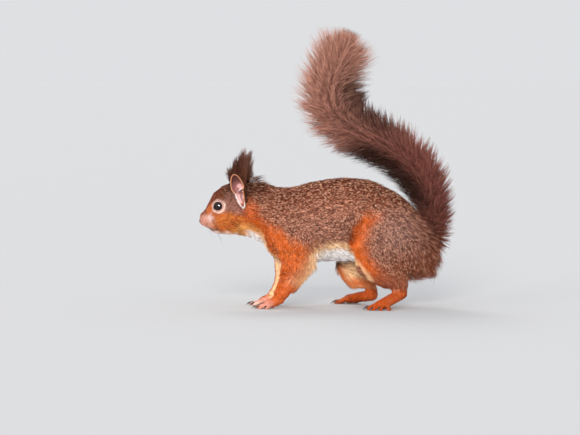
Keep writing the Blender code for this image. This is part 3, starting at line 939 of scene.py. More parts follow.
def makeEar(side):
    # modelled as the left ear, its hollow towards -Y and its rear edge at +X, then set on the head
    cup = addBall(72, 56)
    cup.name = "pinna_" + sideNames[side]
    cup.scale = Vector(ear["radii"]) * mm
    editAll(settle(cup))
    cutAt = -ear["radii"][1] * ear["cut"] * mm
    bpy.ops.mesh.bisect(plane_co=(0, cutAt, 0), plane_no=(0, -1, 0), clear_outer=True)
    endEdit()
    setPoints(cup, earShape(pointsOf(cup)))
    finishWith(
        cup, "SOLIDIFY", thickness=ear["wall"] * mm, offset=-1.0, use_rim=True, use_even_offset=True
    )
    finishWith(cup, "SUBSURF", levels=1, render_levels=1)
    points = pointsOf(cup)
    # the rim rolls outwards a little, and a fold crosses the hollow below the notch
    lip = ramp(-points[:, 1], -0.3, 1.4)
    points[:, [0, 2]] *= (1 + 0.03 * lip)[:, None]
    normals = normalsOf(cup)
    facingIn = ramp(-(normals * unit(points * (1, 1.6, 0.4))).sum(1), -0.1, 0.3)
    across, high = points[:, 0] / ear["radii"][0] + 0.1, points[:, 2] / ear["radii"][2]
    slash = high - (ear["notch"] - 0.05 + 0.16 * across)
    fold = np.exp(-((slash - 0.08) ** 2) / 0.05**2) * facingIn * ramp(across, -0.6, -0.1)
    points[:, 1] -= 1.4 * fold
    setPoints(cup, points)
    count = len(points)
    # painted shade in the slit along the fold
    slitShade = np.exp(-(slash**2) / 0.04**2) * ramp(across, -0.40, -0.15)
    inner = plain("earHollow", count)
    for mask, name in (
        # painted shade deep in the upper hollow
        (ramp(high, 0.15, 0.7), "earDeepShade"),
        (ovalMask(across, high, (-0.1, 0.22), (0.36, 0.16)) * 0.7, "earPale"),
        (ramp(high, -0.08, -0.14) * 0.9, "earPale"),
        (fold * 0.95, "earWhite"),
        (slitShade, "earSlitShade"),
        # painted shade in the opening low in the hollow, and in a spot above it
        (ovalMask(across, high, (0.06, -0.62), (0.13, 0.24)), "earSlitShade"),
        (ovalMask(across, high, (0.10, -0.25), (0.10, 0.10)) * 0.6, "earSlitShade"),
    ):
        inner = paint(inner, mask, name)
    tone = plain("earBack", count) * (1 - facingIn[:, None]) + inner * facingIn[:, None]
    edge = ramp(-points[:, 1], 0.7, 1.3)
    tone = paint(tone, edge, "earRim")
    whitened = ramp(high, 0.0, -0.25) * np.maximum(ramp(across, 0.15, 0.0), ramp(high, -0.62, -0.75))
    tone = paint(tone, edge * whitened * 0.8, "earWhite")
    giveTone(cup, "tone", tone)
    giveTone(cup, "lock", np.tile([0.5, 0.5, 0.0], (count, 1)))
    cup.data.transform(earPlace(side))
    if side == right:
        cup.data.flip_normals()
    wear(cup, "ear")
    return cup


for side in sideNames:
    cup = makeEar(side)
    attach(cup, "root")
    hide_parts("ear_" + sideNames[side])
print("ears made")

# claws

clawShape = {"radius": 0.85, "steps": 7, "arch": 0.54, "sides": 10, "flatness": 0.72}


def makeClaw(tip, ahead, length, toeRadius):
    # a cone drawn out in steps that curve down to the ground
    clearSelection()
    sides, radius = clawShape["sides"], clawShape["radius"] * mm
    bpy.ops.mesh.primitive_circle_add(vertices=sides, radius=radius, fill_type="NGON")
    hook = bpy.context.object
    editAll(hook)
    steps = clawShape["steps"]
    for i in range(steps):
        high = length * (i + 1) / steps
        bpy.ops.mesh.extrude_region_move(TRANSFORM_OT_translate={"value": (0, 0, length / steps * mm)})
        thick = [max(1 - k / steps, 0.12) ** 0.8 for k in (i, i + 1)]
        bpy.ops.transform.resize(value=(thick[1] / thick[0],) * 3, center_override=(0, 0, high * mm))
    endEdit()
    points = pointsOf(hook)
    gone = points[:, 2] / length
    rise = clawShape["arch"] * np.sin(np.minimum(gone * 1.25, 1.0) * math.pi)
    top = tip.z + toeRadius * 0.42
    level = points[:, 1] * 1.25 + rise - (top - 0.45) * gone**1.9
    ahead = np.array(ahead)
    sideways = np.array((-ahead[1], ahead[0], 0))
    placed = np.array((tip.x, tip.y, top)) + ahead * toeRadius * 0.45
    placed = placed + points[:, 2:] * ahead + points[:, :1] * clawShape["flatness"] * sideways
    placed[:, 2] += level
    setPoints(hook, placed)
    return hook


claws = []
for kind in feet:
    for side in sideNames:
        for _, _, tip, ahead in toeRows(kind, side)[3]:
            claws.append(makeClaw(tip, ahead, feet[kind]["claw"], feet[kind]["radius"]))
claws = joinAll(claws, "claws")
editAll(claws)
bpy.ops.mesh.normals_make_consistent(inside=False)
endEdit()
wear(claws, "claw")
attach(claws, "root")
print("claws made")

# markings: the same on the skin and on the coat

def oneSided(points):
    # both sides laid on the right one
    return np.stack([points[:, 0], np.abs(points[:, 1]), points[:, 2]], 1)


def blob(points, centre, radii, turn=0, soft=0.4):
    # 1 inside an oval seen from the side, fading to 0 outside it
    x, z = points[:, 0] - centre[0], points[:, 2] - centre[1]
    cosine, sine = math.cos(math.radians(turn)), math.sin(math.radians(turn))
    reach = np.hypot((x * cosine + z * sine) / radii[0], (z * cosine - x * sine) / radii[1])
    return 1 - ramp(reach, 1 - soft, 1 + soft)


def below(points, line, soft):
    xs, zs = zip(*line)
    return ramp(np.interp(points[:, 0], xs, zs) - points[:, 2], -soft, soft)


def nearPath(points, path, radius):
    return np.exp(-gapToPath(points * (1, 0, 1), np.array(path) * (1, 0, 1)) / radius**2)


shoulderLine = ((-70, 84), (-60.6, 74.2), (-39.8, 66.4), (-30.7, 57.6), (-17.8, 53.1), (-6.6, 50.6), (4, 40))
shoulderCrease = ((-59, 0, 71), (-54, 0, 56), (-39, 0, 47.5), (-19, 0, 46.5))
creamLine = (
    (-110, 58), (-100, 63), (-84, 62.5), (-72, 64), (-60, 66), (-54, 62), (-50, 50), (-40, 42),
    (-20, 47), (-12, 51.5), (4, 56), (18, 54), (30, 46), (50, 34), (70, 28), (90, 30),
)  # fmt: skip
thighLine = ((26, 36, 48, 56, 67, 78), (33, 26, 17.5, 16.4, 20.4, 29))  # heights, then X
armLine = ((-11, 0, 48), (-14, 0, 39), (-20, 0, 30), (-28, 0, 21))
chinLine = ((-110, 64), (-97, 64.3), (-88, 63.6), (-80, 61.5), (-70, 60.5), (-60, 58))
earCreases = ((-76, 0, 95.4), (-70, 0, 97.0)), ((-71.4, 0, 93), (-70.6, 0, 90), (-69.2, 0, 87))
earSkin = (5.0, 4.5, 11.5)  # radii of the bare skin about the middle of an ear
skinShade = 0.85
skinFlecks = (0.7, 0.4)  # place along a lock, and share of the coat's flecks


def markings(spots, normals):
    # the coat's tone at each place, and how much it is flecked with light and dark tips
    wander = np.stack([softNoise(spots, 5.0, seed) for seed in (11, 12, 13)], 1)
    points = spots + wander * 0.8
    side, out = np.sign(points[:, 1]), np.abs(points[:, 1])
    outward = normals[:, 1] * side
    x, z = points[:, 0], points[:, 2]
    tone = plain("brown", len(points))
    fleck = np.full(len(points), 0.9)

    def lay(mask, name):
        nonlocal tone
        tone = paint(tone, mask, name)

    lay(ramp(normals[:, 2], 0.2, 0.9) * 0.85, "back")
    # greyer lilac over the flank, partly a painted sheen
    lay(blob(points, (0, 66), (42, 16), soft=0.8) * 0.35, "lilacGreyAndSheen")
    # the thigh: orange along its front edge, greyer lilac with a painted sheen in the middle, red-brown
    # below
    shifted = points.copy()
    shifted[:, 0] += np.where(side > 0, np.interp(z, (40, 75), (14, 2)), 0)
    lay(blob(shifted, (58, 62), (18, 18), soft=0.9) * 0.8, "lilacGreyAndSheen")
    lay(blob(shifted, (44, 41), (9, 7), soft=0.9) * 0.5, "lilacGreyAndSheen")
    lay(blob(shifted, (62, 30), (26, 11), -15, soft=0.8) * 0.8, "redBrown")
    lay(ramp(shifted[:, 0], 74, 88) * 0.6, "redBrown")
    past = shifted[:, 0] - np.interp(z, *thighLine)
    onThigh = ramp(out, 12, 17) * ramp(past, -1.5, 0.5) * ramp(z, 84, 74)
    crescent = onThigh * (1 - ramp(past, 6, 21))
    lay(crescent * 0.95, "orange")
    lay(crescent * (1 - ramp(past, 1.0, 6.0)) * ramp(z, 42, 52) * 0.85, "deepOrange")
    # painted shade in the crease at the top of the thigh's front edge
    lay(crescent * (1 - ramp(past, 0, 1.6)) * ramp(z, 52, 60) * 0.5, "shade")
    fleck *= 1 - crescent * 0.66
    # shoulder and foreleg
    front = below(points, shoulderLine, 6.0) * ramp(x, 2, -8) * ramp(x, -66, -60)
    lay(front * 0.95, "orange")
    lay(front * ramp(z, 46, 26) * 0.55, "deepOrange")
    # painted shade: deeper orange along the front edge of the chest
    chestEdgeShade = blob(points, (-55, 62), (4.5, 18), 22, soft=0.6) * front
    lay(chestEdgeShade * 0.7, "deepOrange")
    # painted shade along the shoulder's crease
    shoulderCreaseShade = nearPath(spots, shoulderCrease, 1.3) * ramp(out, 10, 14)
    lay(shoulderCreaseShade * 0.55, "shade")
    fleck *= 1 - 0.62 * front
    # lower hind legs and feet
    shank = ramp(z, 34, 24) * ramp(x, 6, 12)
    lay(shank * 0.85, "redBrown")
    hindFoot = ramp(z, 17, 13) * ramp(x, 6, 12)
    lay(hindFoot, "deepOrange")
    fleck *= 1 - np.maximum(shank, hindFoot) * 0.6
    # pale underside, inner legs and the backs of the forelegs
    torso = 1 - np.maximum.reduce(
        [
            ramp(out, 13, 18) * ramp(z, 47, 40) * (1 - ramp(x, -14, -8) * ramp(x, 18, 12)),
            ramp(out, 13, 17) * ramp(z, 60, 54) * ramp(x, -8, -16),
            onThigh,
            ramp(z, 34, 28) * ramp(x, -60, -54),
        ]
    )
    creamSoft = below(points, creamLine, 2.6) * torso
    lay(creamSoft, "cream")
    lay(below(points + (0, 0, 4.8), creamLine, 2.2) * torso, "white")
    innerHind = ramp(-outward, -0.05, 0.45) * ramp(z, 46, 40) * ramp(x, 2, 8) * ramp(z, 13, 18)
    innerFore = ramp(-outward, 0.1, 0.6) * ramp(z, 46, 40) * ramp(x, -52, -46) * ramp(x, 2, -4)
    innerLeg = np.maximum(innerHind, innerFore)
    lay(innerLeg * 0.9, "cream")
    lowEdge = innerHind * np.maximum(ramp(-normals[:, 0], 0.25, 0.75), ramp(z, 27, 20))
    lay(lowEdge * 0.8, "orange")
    # painted shadow under the belly, at the top of the inner hind leg
    groinShade = blob(points, (9, 41), (9, 6), 60, soft=0.6) * ramp(-outward, -0.4, 0.2) * ramp(out, 5, 9)
    lay(groinShade * 0.95, "dark")
    backOfLeg = ramp(normals[:, 0], 0.2, 0.75) * ramp(z, 50, 44) * ramp(z, 16, 24) * ramp(x, -2, -8)
    lay(backOfLeg * 0.85, "cream")
    rearOfArm = nearPath(spots, armLine, 5.5)
    lay(rearOfArm * ramp(out, 10, 14) * ramp(z, 17, 22) * 0.36, "cream")
    thighEdge = onThigh * (1 - ramp(past, 1.0, 5.0)) * ramp(z, 52, 46) * ramp(z, 19, 25)
    lay(thighEdge * 0.85, "cream")
    pale = np.maximum.reduce([creamSoft, innerLeg, backOfLeg, thighEdge])
    # hands
    hand = ramp(z, 9, 5) * ramp(x, -42, -48)
    lay(hand * 0.7, "hand")
    pale = np.maximum(pale, hand)
    # head
    onHead = ramp(x, -62, -70) * ramp(z, 56, 64)
    lay(onHead * ramp(z, 86, 95), "crown")
    lay(blob(points, (-95, 91), (6, 5), -50, soft=0.6) * 0.85, "forehead")
    lay(blob(points, (-78, 86), (11, 8), -25, soft=0.5) * 0.9, "greyPatch")
    cheek = blob(points, (-79, 70), (20, 8), -8, soft=0.35) * ramp(z, 60, 62.5)
    lay(cheek * 0.95, "cheek")
    streaks = ramp(softNoise(spots, 2.2, 17) + 0.3 * softNoise(spots, 6, 18), -0.2, 0.9)
    lay(cheek * streaks * 0.75, "gold")
    streaks = ramp(softNoise(spots * (0.6, 1, 1.4), 1.8, 27), 0.3, 1.0)
    lay(cheek * streaks * 0.5, "shade")
    lay(blob(points, (-62, 101), (8, 11), -30, soft=0.6) * 0.6, "crown")
    behindEar = blob(points, (-62, 76), (6, 13), 20, soft=0.8)
    broken = 0.75 + 0.25 * ramp(softNoise(spots, 2.5, 33), -0.4, 0.5)
    lay(behindEar * broken * 0.95, "rust")
    lay(blob(points, (-97.0, 81.5), (2.8, 5.0), -22, soft=0.5) * 0.9, "cheek")
    bridge = onHead * ramp(normals[:, 2], 0.15, 0.5) * ramp(x, -84, -90) * ramp(z, 74, 78)
    lay(bridge * 0.9, "forehead")
    muzzle = blob(points, (-100.5, 70.5), (7.3, 6.6), soft=0.3)
    lay(muzzle * 0.95, "muzzle")
    spotted = ramp(softNoise(spots, 1.7, 28), 0.0, 0.8)
    lay(muzzle * spotted * 0.6, "padSpot")
    # a painted highlight on the upper whisker pad
    lay(blob(points, (-97.5, 74.0), (2.4, 3.0), -40, soft=0.6) * 0.3, "white")
    lay(blob(points, (-94.5, 69.0), (2.4, 2.6), soft=0.5) * 0.45, "gold")
    chin = below(points, chinLine, 1.0) * onHead
    lay(chin, "eyeRing")
    throat = blob(points, (-66, 63.0), (11, 6.0), -8, soft=0.5)
    lay(throat * 0.9, "amber")
    lay(blob(points, (-62, 58.5), (7.5, 4.5), -20, soft=0.5), "white")
    pale = np.clip(pale + muzzle + chin + throat, 0, 1)
    fleck *= 1 - 0.6 * onHead
    fleck *= 1 - 0.55 * np.clip(cheek + behindEar, 0, 1)
    for s in sideNames:
        reach, height = eyeReach(spots, s)
        onSide = (points[:, 1] * s > 3) & (height > -6)
        lobe = softNoise(spots, 3.0, 19) * 0.25
        ring = (1 - ramp(eyeReach(spots - (0.45, 0, -0.45), s)[0] + lobe, 4.7, 6.3)) * onSide
        lay(ring * 0.97, "eyeRing")
        pale = np.maximum(pale, ring)
        lay((1 - ramp(reach, 3.3, 3.6)) * onSide, "mouth")
    inEar = ((oneSided(spots) - ear["middle"]) / earSkin) ** 2
    inEar = 1 - ramp(inEar.sum(1), 0.85, 1.1)
    lay(inEar, "earHollow")
    lay(inEar * ramp(z, 95, 92), "earPale")
    # painted shade along the creases in the ear's hollow
    for line in earCreases:
        lay(inEar * nearPath(spots, line, 0.7), "earSlitShade")
    fleck *= 1 - inEar
    # painted shade along the mouth's crease
    mouthShade = nearPath(spots, mouthLine, 0.55) * ramp(out, 1.0, 2.5)
    lay(np.clip(mouthShade * 1.2, 0, 1) * 0.95, "mouth")
    # painted shade along the crease behind the whisker pad
    lay(nearPath(spots, padCrease, 0.6) * ramp(out, 4, 6) * 0.6, "shade")
    # root of the tail
    lay(ramp(z, 34, 72) * ramp(x, 73, 85) * 0.9, "tailRoot")
    lay(ramp(z, 110, 114), "tail")
    return tone, np.clip(fleck * (1 - 0.97 * pale), 0, 1)


bodyPoints, bodyNormals = pointsOf(body), normalsOf(body)
skinTone, skinFleck = markings(bodyPoints, bodyNormals)
giveTone(body, "tone", skinTone * skinShade)
grain = seeded(4).random(len(bodyPoints))
skinAlong, fleckShare = skinFlecks
giveTone(body, "lock", np.stack([grain, np.full(len(grain), skinAlong), skinFleck * fleckShare], 1))
print("skin marked")

# hair: locks as thin three-sided spikes, joined in large meshes

patch = 0.0015  # half the size of a lock's place on the unwrap
lockCorners = ((-0.5, -0.16), (0.5, -0.16), (0.0, 0.34))  # of a lock's section, in its widths


def lockMesh(name, locks, material):
    # locks: a dictionary of arrays with one row per lock. spine holds its points, the last one the
    # tip; place is where its root lies on the unwrap
    spine, widths = locks["spine"], locks["widths"]
    count, stops = spine.shape[:2]
    ahead = unit(spine[:, 1] - spine[:, 0])
    across = unit(np.cross(ahead, locks["up"]))
    lift = unit(np.cross(across, ahead))
    rings = [
        spine[:, k] + widths[:, k, None] * (a * across + b * lift)
        for k in range(stops - 1)
        for a, b in lockCorners
    ]
    points = np.stack([*rings, spine[:, -1]], 1)
    each = points.shape[1]
    faces = [(0, 1, 2)]
    for k in range(stops - 1):
        for i in range(3):
            j = (i + 1) % 3
            here, beyond = 3 * k, 3 * (k + 1)
            if k == stops - 2:
                faces.append((here + i, each - 1, here + j))
            else:
                faces += [(here + i, beyond + i, here + j), (here + j, beyond + i, beyond + j)]
    faces = (np.array(faces)[None] + np.arange(count)[:, None, None] * each).reshape(-1)
    along = np.append(np.repeat(np.arange(stops - 1), 3), stops - 1) / (stops - 1)
    sideways = np.append(np.tile([-1.0, 1.0, 0.0], stops - 1), 0.0)
    upward = along * 2 - 1 + np.append(np.tile([0.0, 0.0, 0.25], stops - 1), 0.0)
    corners = np.stack([sideways, np.clip(upward, -1, 1)], 1)
    uv = locks["place"][:, None] + patch * corners[None]
    mesh = bpy.data.meshes.new(name)
    mesh.vertices.add(count * each)
    mesh.vertices.foreach_set("co", (points.reshape(-1, 3) * mm).astype(np.float32).ravel())
    mesh.loops.add(len(faces))
    mesh.loops.foreach_set("vertex_index", faces.astype(np.int32))
    mesh.polygons.add(len(faces) // 3)
    mesh.polygons.foreach_set("loop_start", np.arange(0, len(faces), 3, dtype=np.int32))
    mesh.update(calc_edges=True)
    layer = mesh.uv_layers.new(name="OFBake")
    layer.uv.foreach_set("vector", uv.reshape(-1, 2)[faces].astype(np.float32).ravel())
    mesh.shade_smooth()
    piece = bpy.data.objects.new(name, mesh)
    bpy.context.scene.collection.objects.link(piece)
    giveTone(piece, "tone", np.repeat(locks["tone"], each, 0))
    lock = [np.repeat(locks["strand"], each), np.tile(along, count), np.repeat(locks["fleck"], each)]
    giveTone(piece, "lock", np.stack(lock, 1))
    piece.data.materials.append(materials[material])
    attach(piece, "root")
    return piece


def chosenLocks(locks, on):
    return {key: rows[on] for key, rows in locks.items()}


def cellOf(keys):
    # the number of the cell, one unit wide, that each row is in
    return np.unique(np.floor(keys), axis=0, return_inverse=True)[1].reshape(-1)


def gathered(points, keys, share):
    # draws the points of each clump together by a share of the way to their middle
    member = cellOf(keys)
    size = np.bincount(member)
    middle = np.stack([np.bincount(member, points[:, i]) / size for i in range(3)], 1)
    return points + (middle[member] - points) * share


def spread(*axes):
    # stretches each axis of the unwrap over nearly the whole square
    spans = [(values, values.min(), values.max()) for values in axes]
    return np.stack([0.01 + 0.98 * (values - low) / (high - low) for values, low, high in spans], 1)


# guides that comb the coat, each from where the hair starts to where it points
combs = (
    (
        (-105, 0, 75), (-96, 0, 91), (-83, 0, 101), (-66, 0, 105), (-45, 0, 103),
        (-15, 0, 105), (20, 0, 109), (50, 0, 100), (75, 0, 79), (88, 0, 60),
    ),
    ((-104, 3, 71), (-97, 7, 71), (-84, 11, 70), (-68, 15, 68), (-52, 17, 62), (-46, 18, 52)),
    (
        (-98, 8, 80), (-90, 12, 78), (-80, 14, 80), (-68, 16, 80), (-50, 19, 76),
        (-32, 23, 68), (-10, 26, 64), (15, 28, 60), (30, 28, 52),
    ),
    (
        (-96, 6, 90), (-86, 10, 92), (-76, 12, 92), (-62, 14, 92), (-40, 19, 90),
        (0, 25, 90), (35, 26, 88), (60, 25, 76), (80, 20, 58), (88, 12, 44),
    ),
    (
        (-102, 2, 65), (-90, 4, 61), (-75, 5, 59), (-62, 5, 58), (-52, 5, 48),
        (-40, 5, 40), (-15, 8, 38), (15, 8, 38), (45, 8, 30), (75, 6, 26),
    ),
    ((-30, 26, 66), (-28, 28, 50), (-28, 26, 38), (-34, 25, 24), (-40, 25, 13), (-48, 27, 7), (-58, 29, 4)),
    ((-46, 16, 56), (-44, 20, 40), (-42, 22, 24), (-44, 22, 12)),
    ((-18, 22, 58), (-14, 22, 46), (-16, 22, 36), (-26, 22, 22)),
    ((34, 28, 84), (46, 34, 66), (58, 36, 46), (66, 30, 30), (74, 20, 20)),
    ((22, 27, 72), (20, 29, 58), (26, 31, 46), (40, 31, 34), (54, 29, 24), (62, 24, 14)),
    ((62, 22, 16), (56, 28, 12), (48, 38, 8), (42, 46, 5), (38, 52, 3)),
    ((84, 8, 56), (91, 8, 42), (97, 9, 30), (100, 9, 20)),
    ((60, 30, 46), (62, 32, 34), (62, 30, 24), (62, 27, 15)),
)  # fmt: skip
# (place, length, lift in degrees, width) of hair over the body
coatZones = {
    "nose": ((-105, 2, 73), 0.8, 8, 0.18),
    "muzzle": ((-99, 6, 70), 1.4, 10, 0.19),
    "bridge": ((-100, 3, 82), 1.6, 9, 0.20),
    "forehead": ((-90, 5, 96), 2.3, 12, 0.22),
    "eye": ((-90, 13, 80), 1.5, 8, 0.18),
    "eyeAbove": ((-90, 12, 89), 1.6, 9, 0.18),
    "eyeBehind": ((-84, 14, 84), 1.9, 9, 0.20),
    "cheek": ((-78, 14, 72), 3.0, 12, 0.24),
    "temple": ((-76, 14, 86), 2.6, 11, 0.24),
    "crown": ((-78, 3, 103), 3.6, 20, 0.28),
    "nape": ((-67, 4, 103), 12.0, 64, 0.30),
    "scruff": ((-61.5, 3, 103.5), 12.0, 58, 0.30),
    "withers": ((-54, 3, 103), 6.5, 28, 0.32),
    "shoulders": ((-42, 3, 102), 4.6, 14, 0.35),
    "throat": ((-66, 4, 59), 6.0, 34, 0.32),
    "chin": ((-92, 3, 61), 2.0, 12, 0.22),
    "neck": ((-54, 18, 78), 4.8, 17, 0.32),
    "shoulder": ((-30, 26, 66), 4.6, 12, 0.34),
    "chest": ((-48, 4, 46), 5.5, 22, 0.38),
    "armFront": ((-44, 20, 38), 3.2, 11, 0.34),
    "armOut": ((-28, 28, 38), 4.0, 12, 0.36),
    "elbow": ((-11, 20, 40), 7.0, 40, 0.32),
    "armRear": ((-22, 21, 26), 5.0, 36, 0.30),
    "wrist": ((-38, 23, 15), 2.4, 12, 0.28),
    "knuckles": ((-45, 24, 8), 1.8, 11, 0.24),
    "hand": ((-56, 27, 4), 0.9, 9, 0.20),
    "back": ((0, 3, 108), 4.8, 14, 0.37),
    "ribs": ((0, 28, 76), 4.8, 12, 0.37),
    "belly": ((5, 8, 38), 7.0, 21, 0.34),
    "flankLow": ((5, 24, 50), 6.0, 18, 0.37),
    "haunch": ((52, 36, 58), 5.2, 14, 0.38),
    "croup": ((60, 6, 94), 5.2, 15, 0.38),
    "thighFront": ((20, 29, 54), 5.0, 16, 0.34),
    "rump": ((86, 10, 50), 12.0, 47, 0.36),
    "rumpLow": ((78, 16, 28), 13.0, 57, 0.36),
    "shank": ((48, 32, 24), 4.6, 20, 0.34),
    "shankIn": ((44, 16, 26), 2.6, 10, 0.28),
    "thighIn": ((36, 12, 38), 3.2, 12, 0.30),
    "heel": ((62, 22, 12), 2.4, 12, 0.28),
    "hindFoot": ((48, 38, 7), 1.4, 9, 0.24),
    "toes": ((40, 50, 3), 1.0, 9, 0.20),
    "tailRoot": ((88, 6, 66), 12.0, 40, 0.40),
}
coat = {
    "locks": 103000,
    "tipLift": 0.35,  # share of the root's lift that is left at the tip
    "layers": {"head": 2.6, "legs": 1.7, "body": 3.4},
    "wave": 4.5,  # size of the patches that lie alike
    "clump": 1.5,  # size of the clumps whose tips draw together
    "gather": 0.22,
    "sunk": 0.35,
    "proud": (0.05, 0.15, 16),  # share of hairs that stand out, how much longer, and lift in degrees
    "lengths": (0.70, 1.20),  # least and most, against the zone's own
    "widths": (0.75, 1.25),  # the same, and for the other hair too
    "grain": 1.0,  # size of the spots of light and dark tips
}


def zoneValues(points):
    flat = oneSided(points)
    total = np.zeros(len(points))
    values = np.zeros((len(points), 3))
    for place, *rest in coatZones.values():
        weight = 1 / (((flat - place) ** 2).sum(1) + 4) ** 2
        total += weight
        values += weight[:, None] * np.array(rest)
    return values / total[:, None]


def combed(points, normals):
    # the direction in which hair lies at each place, along the surface
    flat = oneSided(points)
    flow = np.zeros((len(points), 3))
    for comb in combs:
        comb = np.array(comb, float)
        for start, end in zip(comb[:-1], comb[1:]):
            way = end - start
            share = np.clip((flat - start) @ way / (way @ way), 0, 1)
            gap = ((flat - start - share[:, None] * way) ** 2).sum(1)
            flow += unit(way) / (gap[:, None] + 9) ** 2
    flow[:, 1] *= np.sign(points[:, 1])
    # round the eyes it lies away from them
    for side in sideNames:
        centre, gaze = eyeFrame(side)[:2]
        reach = eyeReach(points, side)[0]
        close = (1 - ramp(reach, eye["opening"], eye["opening"] + 3.5)) * (points[:, 1] * side > 0)
        offset = points - centre
        away = unit(offset - (offset @ gaze)[:, None] * gaze)
        flow = unit(flow) * (1 - close[:, None]) + away * close[:, None]
    flow -= normals * (flow * normals).sum(1, keepdims=True)
    return unit(flow)


legFeet = {"forelegs": "forefoot", "hindlegs": "hindfoot"}
# X, and the height of the body's axis there
bodyAxis = ((-106, -96, -83, -65, -45, -15, 20, 50, 72, 84), (72, 77, 80, 80, 75, 73, 72, 60, 50, 46))


def regionOf(points):
    # the name of the coat piece that each root belongs to
    x, y, z = points.T
    names = np.where(y < 0, "left", "right")
    part = np.where(x < -60, "head", np.where(x < 28, "trunk", "haunch"))
    part = np.where((z < 33) & (x > -60) & (x < 0), "forelegs", part)
    part = np.where((z < 26) & (x >= 0), "hindlegs", part)
    both = np.char.add(np.char.add(part, "_"), names)
    return np.where(np.isin(part, list(legFeet)), part, both)


def unwrapped(points, name):
    # along the body's own axis and around it, with the two legs of a pair side by side
    x, y, z = points.T
    if name in legFeet:
        place = np.zeros((len(points), 2))
        for side in sideNames:
            on = y * side > 0
            heel = feet[legFeet[name]]["soles"][side][0]
            around = np.arctan2(y[on] - side * heel[1], x[on] - heel[0])
            place[on, 0] = (around / fullTurn + 0.5) * 0.47 + (0.52 if side == right else 0.0)
            place[on, 1] = z[on] + 0.2 * np.hypot(x[on] - heel[0], y[on])
        return spread(*place.T)
    return spread(x, np.arctan2(np.abs(y), z - np.interp(x, *bodyAxis)))


bare = {  # where no coat grows
    "eyeRim": 0.6,  # past the opening
    "cupShift": (1.0, 0, -1.0),
    "cup": (6.0, 4.9, 12.6),  # radii about the middle of an ear
    "tail": 8.0,  # from its line
    "soles": 0.9,
    "nose": 1.15,  # in its radii
}


def wantedLocks(middles, area):
    # how many locks each face of the skin should carry
    values = zoneValues(middles)
    layers = np.full(len(middles), coat["layers"]["body"])
    layers[middles[:, 2] < 30] = coat["layers"]["legs"]
    layers[middles[:, 0] < -62] = coat["layers"]["head"]
    wanted = area * layers / (values[:, 0] * values[:, 2] * 0.5)
    for side in sideNames:
        reach, height = eyeReach(middles, side)
        onSide = (middles[:, 1] * side > 0) & (height > -6)
        wanted[(reach < eye["opening"] + bare["eyeRim"]) & onSide] = 0
        fromCup = middles - np.array(ear["middle"]) * (1, side, 1) + bare["cupShift"]
        wanted[((fromCup / bare["cup"]) ** 2).sum(1) < 1] = 0
    wanted[gapToPath(middles, tailLine[2:]) < bare["tail"] ** 2] = 0
    wanted[middles[:, 2] < bare["soles"]] = 0
    wanted[np.linalg.norm((middles - nose["centre"]) / nose["radii"], axis=1) < bare["nose"]] = 0
    return wanted


def laidSpines(roots, normals, flow, length, lift, sunk):
    # three points of each lock, which leaves the skin at its lift and lies flatter at its tip
    half = (length / 2)[:, None]
    start = roots - normals * sunk[:, None]
    spine = [start]
    for angle in (lift, lift * coat["tipLift"]):
        way = flow * np.cos(angle)[:, None] + normals * np.sin(angle)[:, None]
        spine.append(spine[-1] + half * way)
    return spine


def growCoat():
    draw = seeded(5)
    body.data.calc_loop_triangles()
    faces = rowsOf(body.data.loop_triangles, "vertices", np.int32)
    corners = bodyPoints[faces]
    edges = corners[:, 1:] - corners[:, :1]
    area = np.linalg.norm(np.cross(edges[:, 0], edges[:, 1]), axis=1) / 2
    wanted = wantedLocks(corners.mean(1), area)
    print("coat would need", int(wanted.sum()), "locks")
    count = coat["locks"]
    chosen = draw.choice(len(faces), count, p=wanted / wanted.sum())
    first, second = draw.random((2, count))
    flip = first + second > 1
    first[flip], second[flip] = 1 - first[flip], 1 - second[flip]
    shares = np.stack([1 - first - second, first, second], 1)[:, :, None]
    roots = (corners[chosen] * shares).sum(1)
    normals = unit((bodyNormals[faces[chosen]] * shares).sum(1))
    values = zoneValues(roots)
    flow = combed(roots, normals)
    wave = softNoise(roots, coat["wave"], 21) * 4 + softNoise(roots, 14, 22) * 5
    swing = np.radians(wave + draw.normal(0, 8, count))[:, None]
    flow = unit(flow * np.cos(swing) + np.cross(normals, flow) * np.sin(swing))
    length = values[:, 0] * (draw.uniform(*coat["lengths"], count) + 0.10 * softNoise(roots, 6, 23))
    lift = values[:, 1] * (1 + 0.30 * softNoise(roots, coat["wave"], 24)) + draw.normal(0, 3.0, count)
    # single hairs stand out a little over the lie of the coat
    share, longer, steeper = coat["proud"]
    proud = (draw.random(count) < share) * (roots[:, 0] > -75)
    length = length * (1 + longer * proud)
    lift = np.clip(np.radians(lift + steeper * proud), 0.04, 1.2)
    sunk = coat["sunk"] * np.minimum(1, values[:, 0] / 4)
    spine = laidSpines(roots, normals, flow, length, lift, sunk)
    keys = (roots + 0.6 * softNoise(roots, 3.0, 25)[:, None]) / coat["clump"]
    spine[2] = gathered(spine[2], keys, coat["gather"])
    for row in spine[1:]:
        row[:, 2] = np.maximum(row[:, 2], 0.25)
    width = values[:, 2] * draw.uniform(*coat["widths"], count)
    tone, fleck = markings(roots, normals)
    # tips that lie together share their light or dark band, so that the coat looks grizzled
    spot = cellOf(spine[2] / coat["grain"])
    strand = draw.random(spot.max() + 1)[spot] + draw.normal(0, 0.10, count)
    uneven = np.where(roots[:, 0] < -62, 0.35, 0.16)
    locks = {
        "spine": np.stack(spine, 1),
        "widths": np.stack([width * 0.75, width], 1),
        "up": normals,
        "tone": tone * (1 + uneven * draw.uniform(-1, 1, count))[:, None],
        "strand": np.clip(strand, 0, 1),
        "fleck": fleck * np.interp(length, (5.5, 10), (1, 0.5)),
    }
    regions = regionOf(roots)
    for name in np.unique(regions):
        on = regions == name
        part = chosenLocks(locks, on)
        part["place"] = unwrapped(roots[on], str(name))
        lockMesh("coat_" + str(name), part, "coat")
        print("coat piece", name, int(on.sum()), "locks")


growCoat()

# tail hair

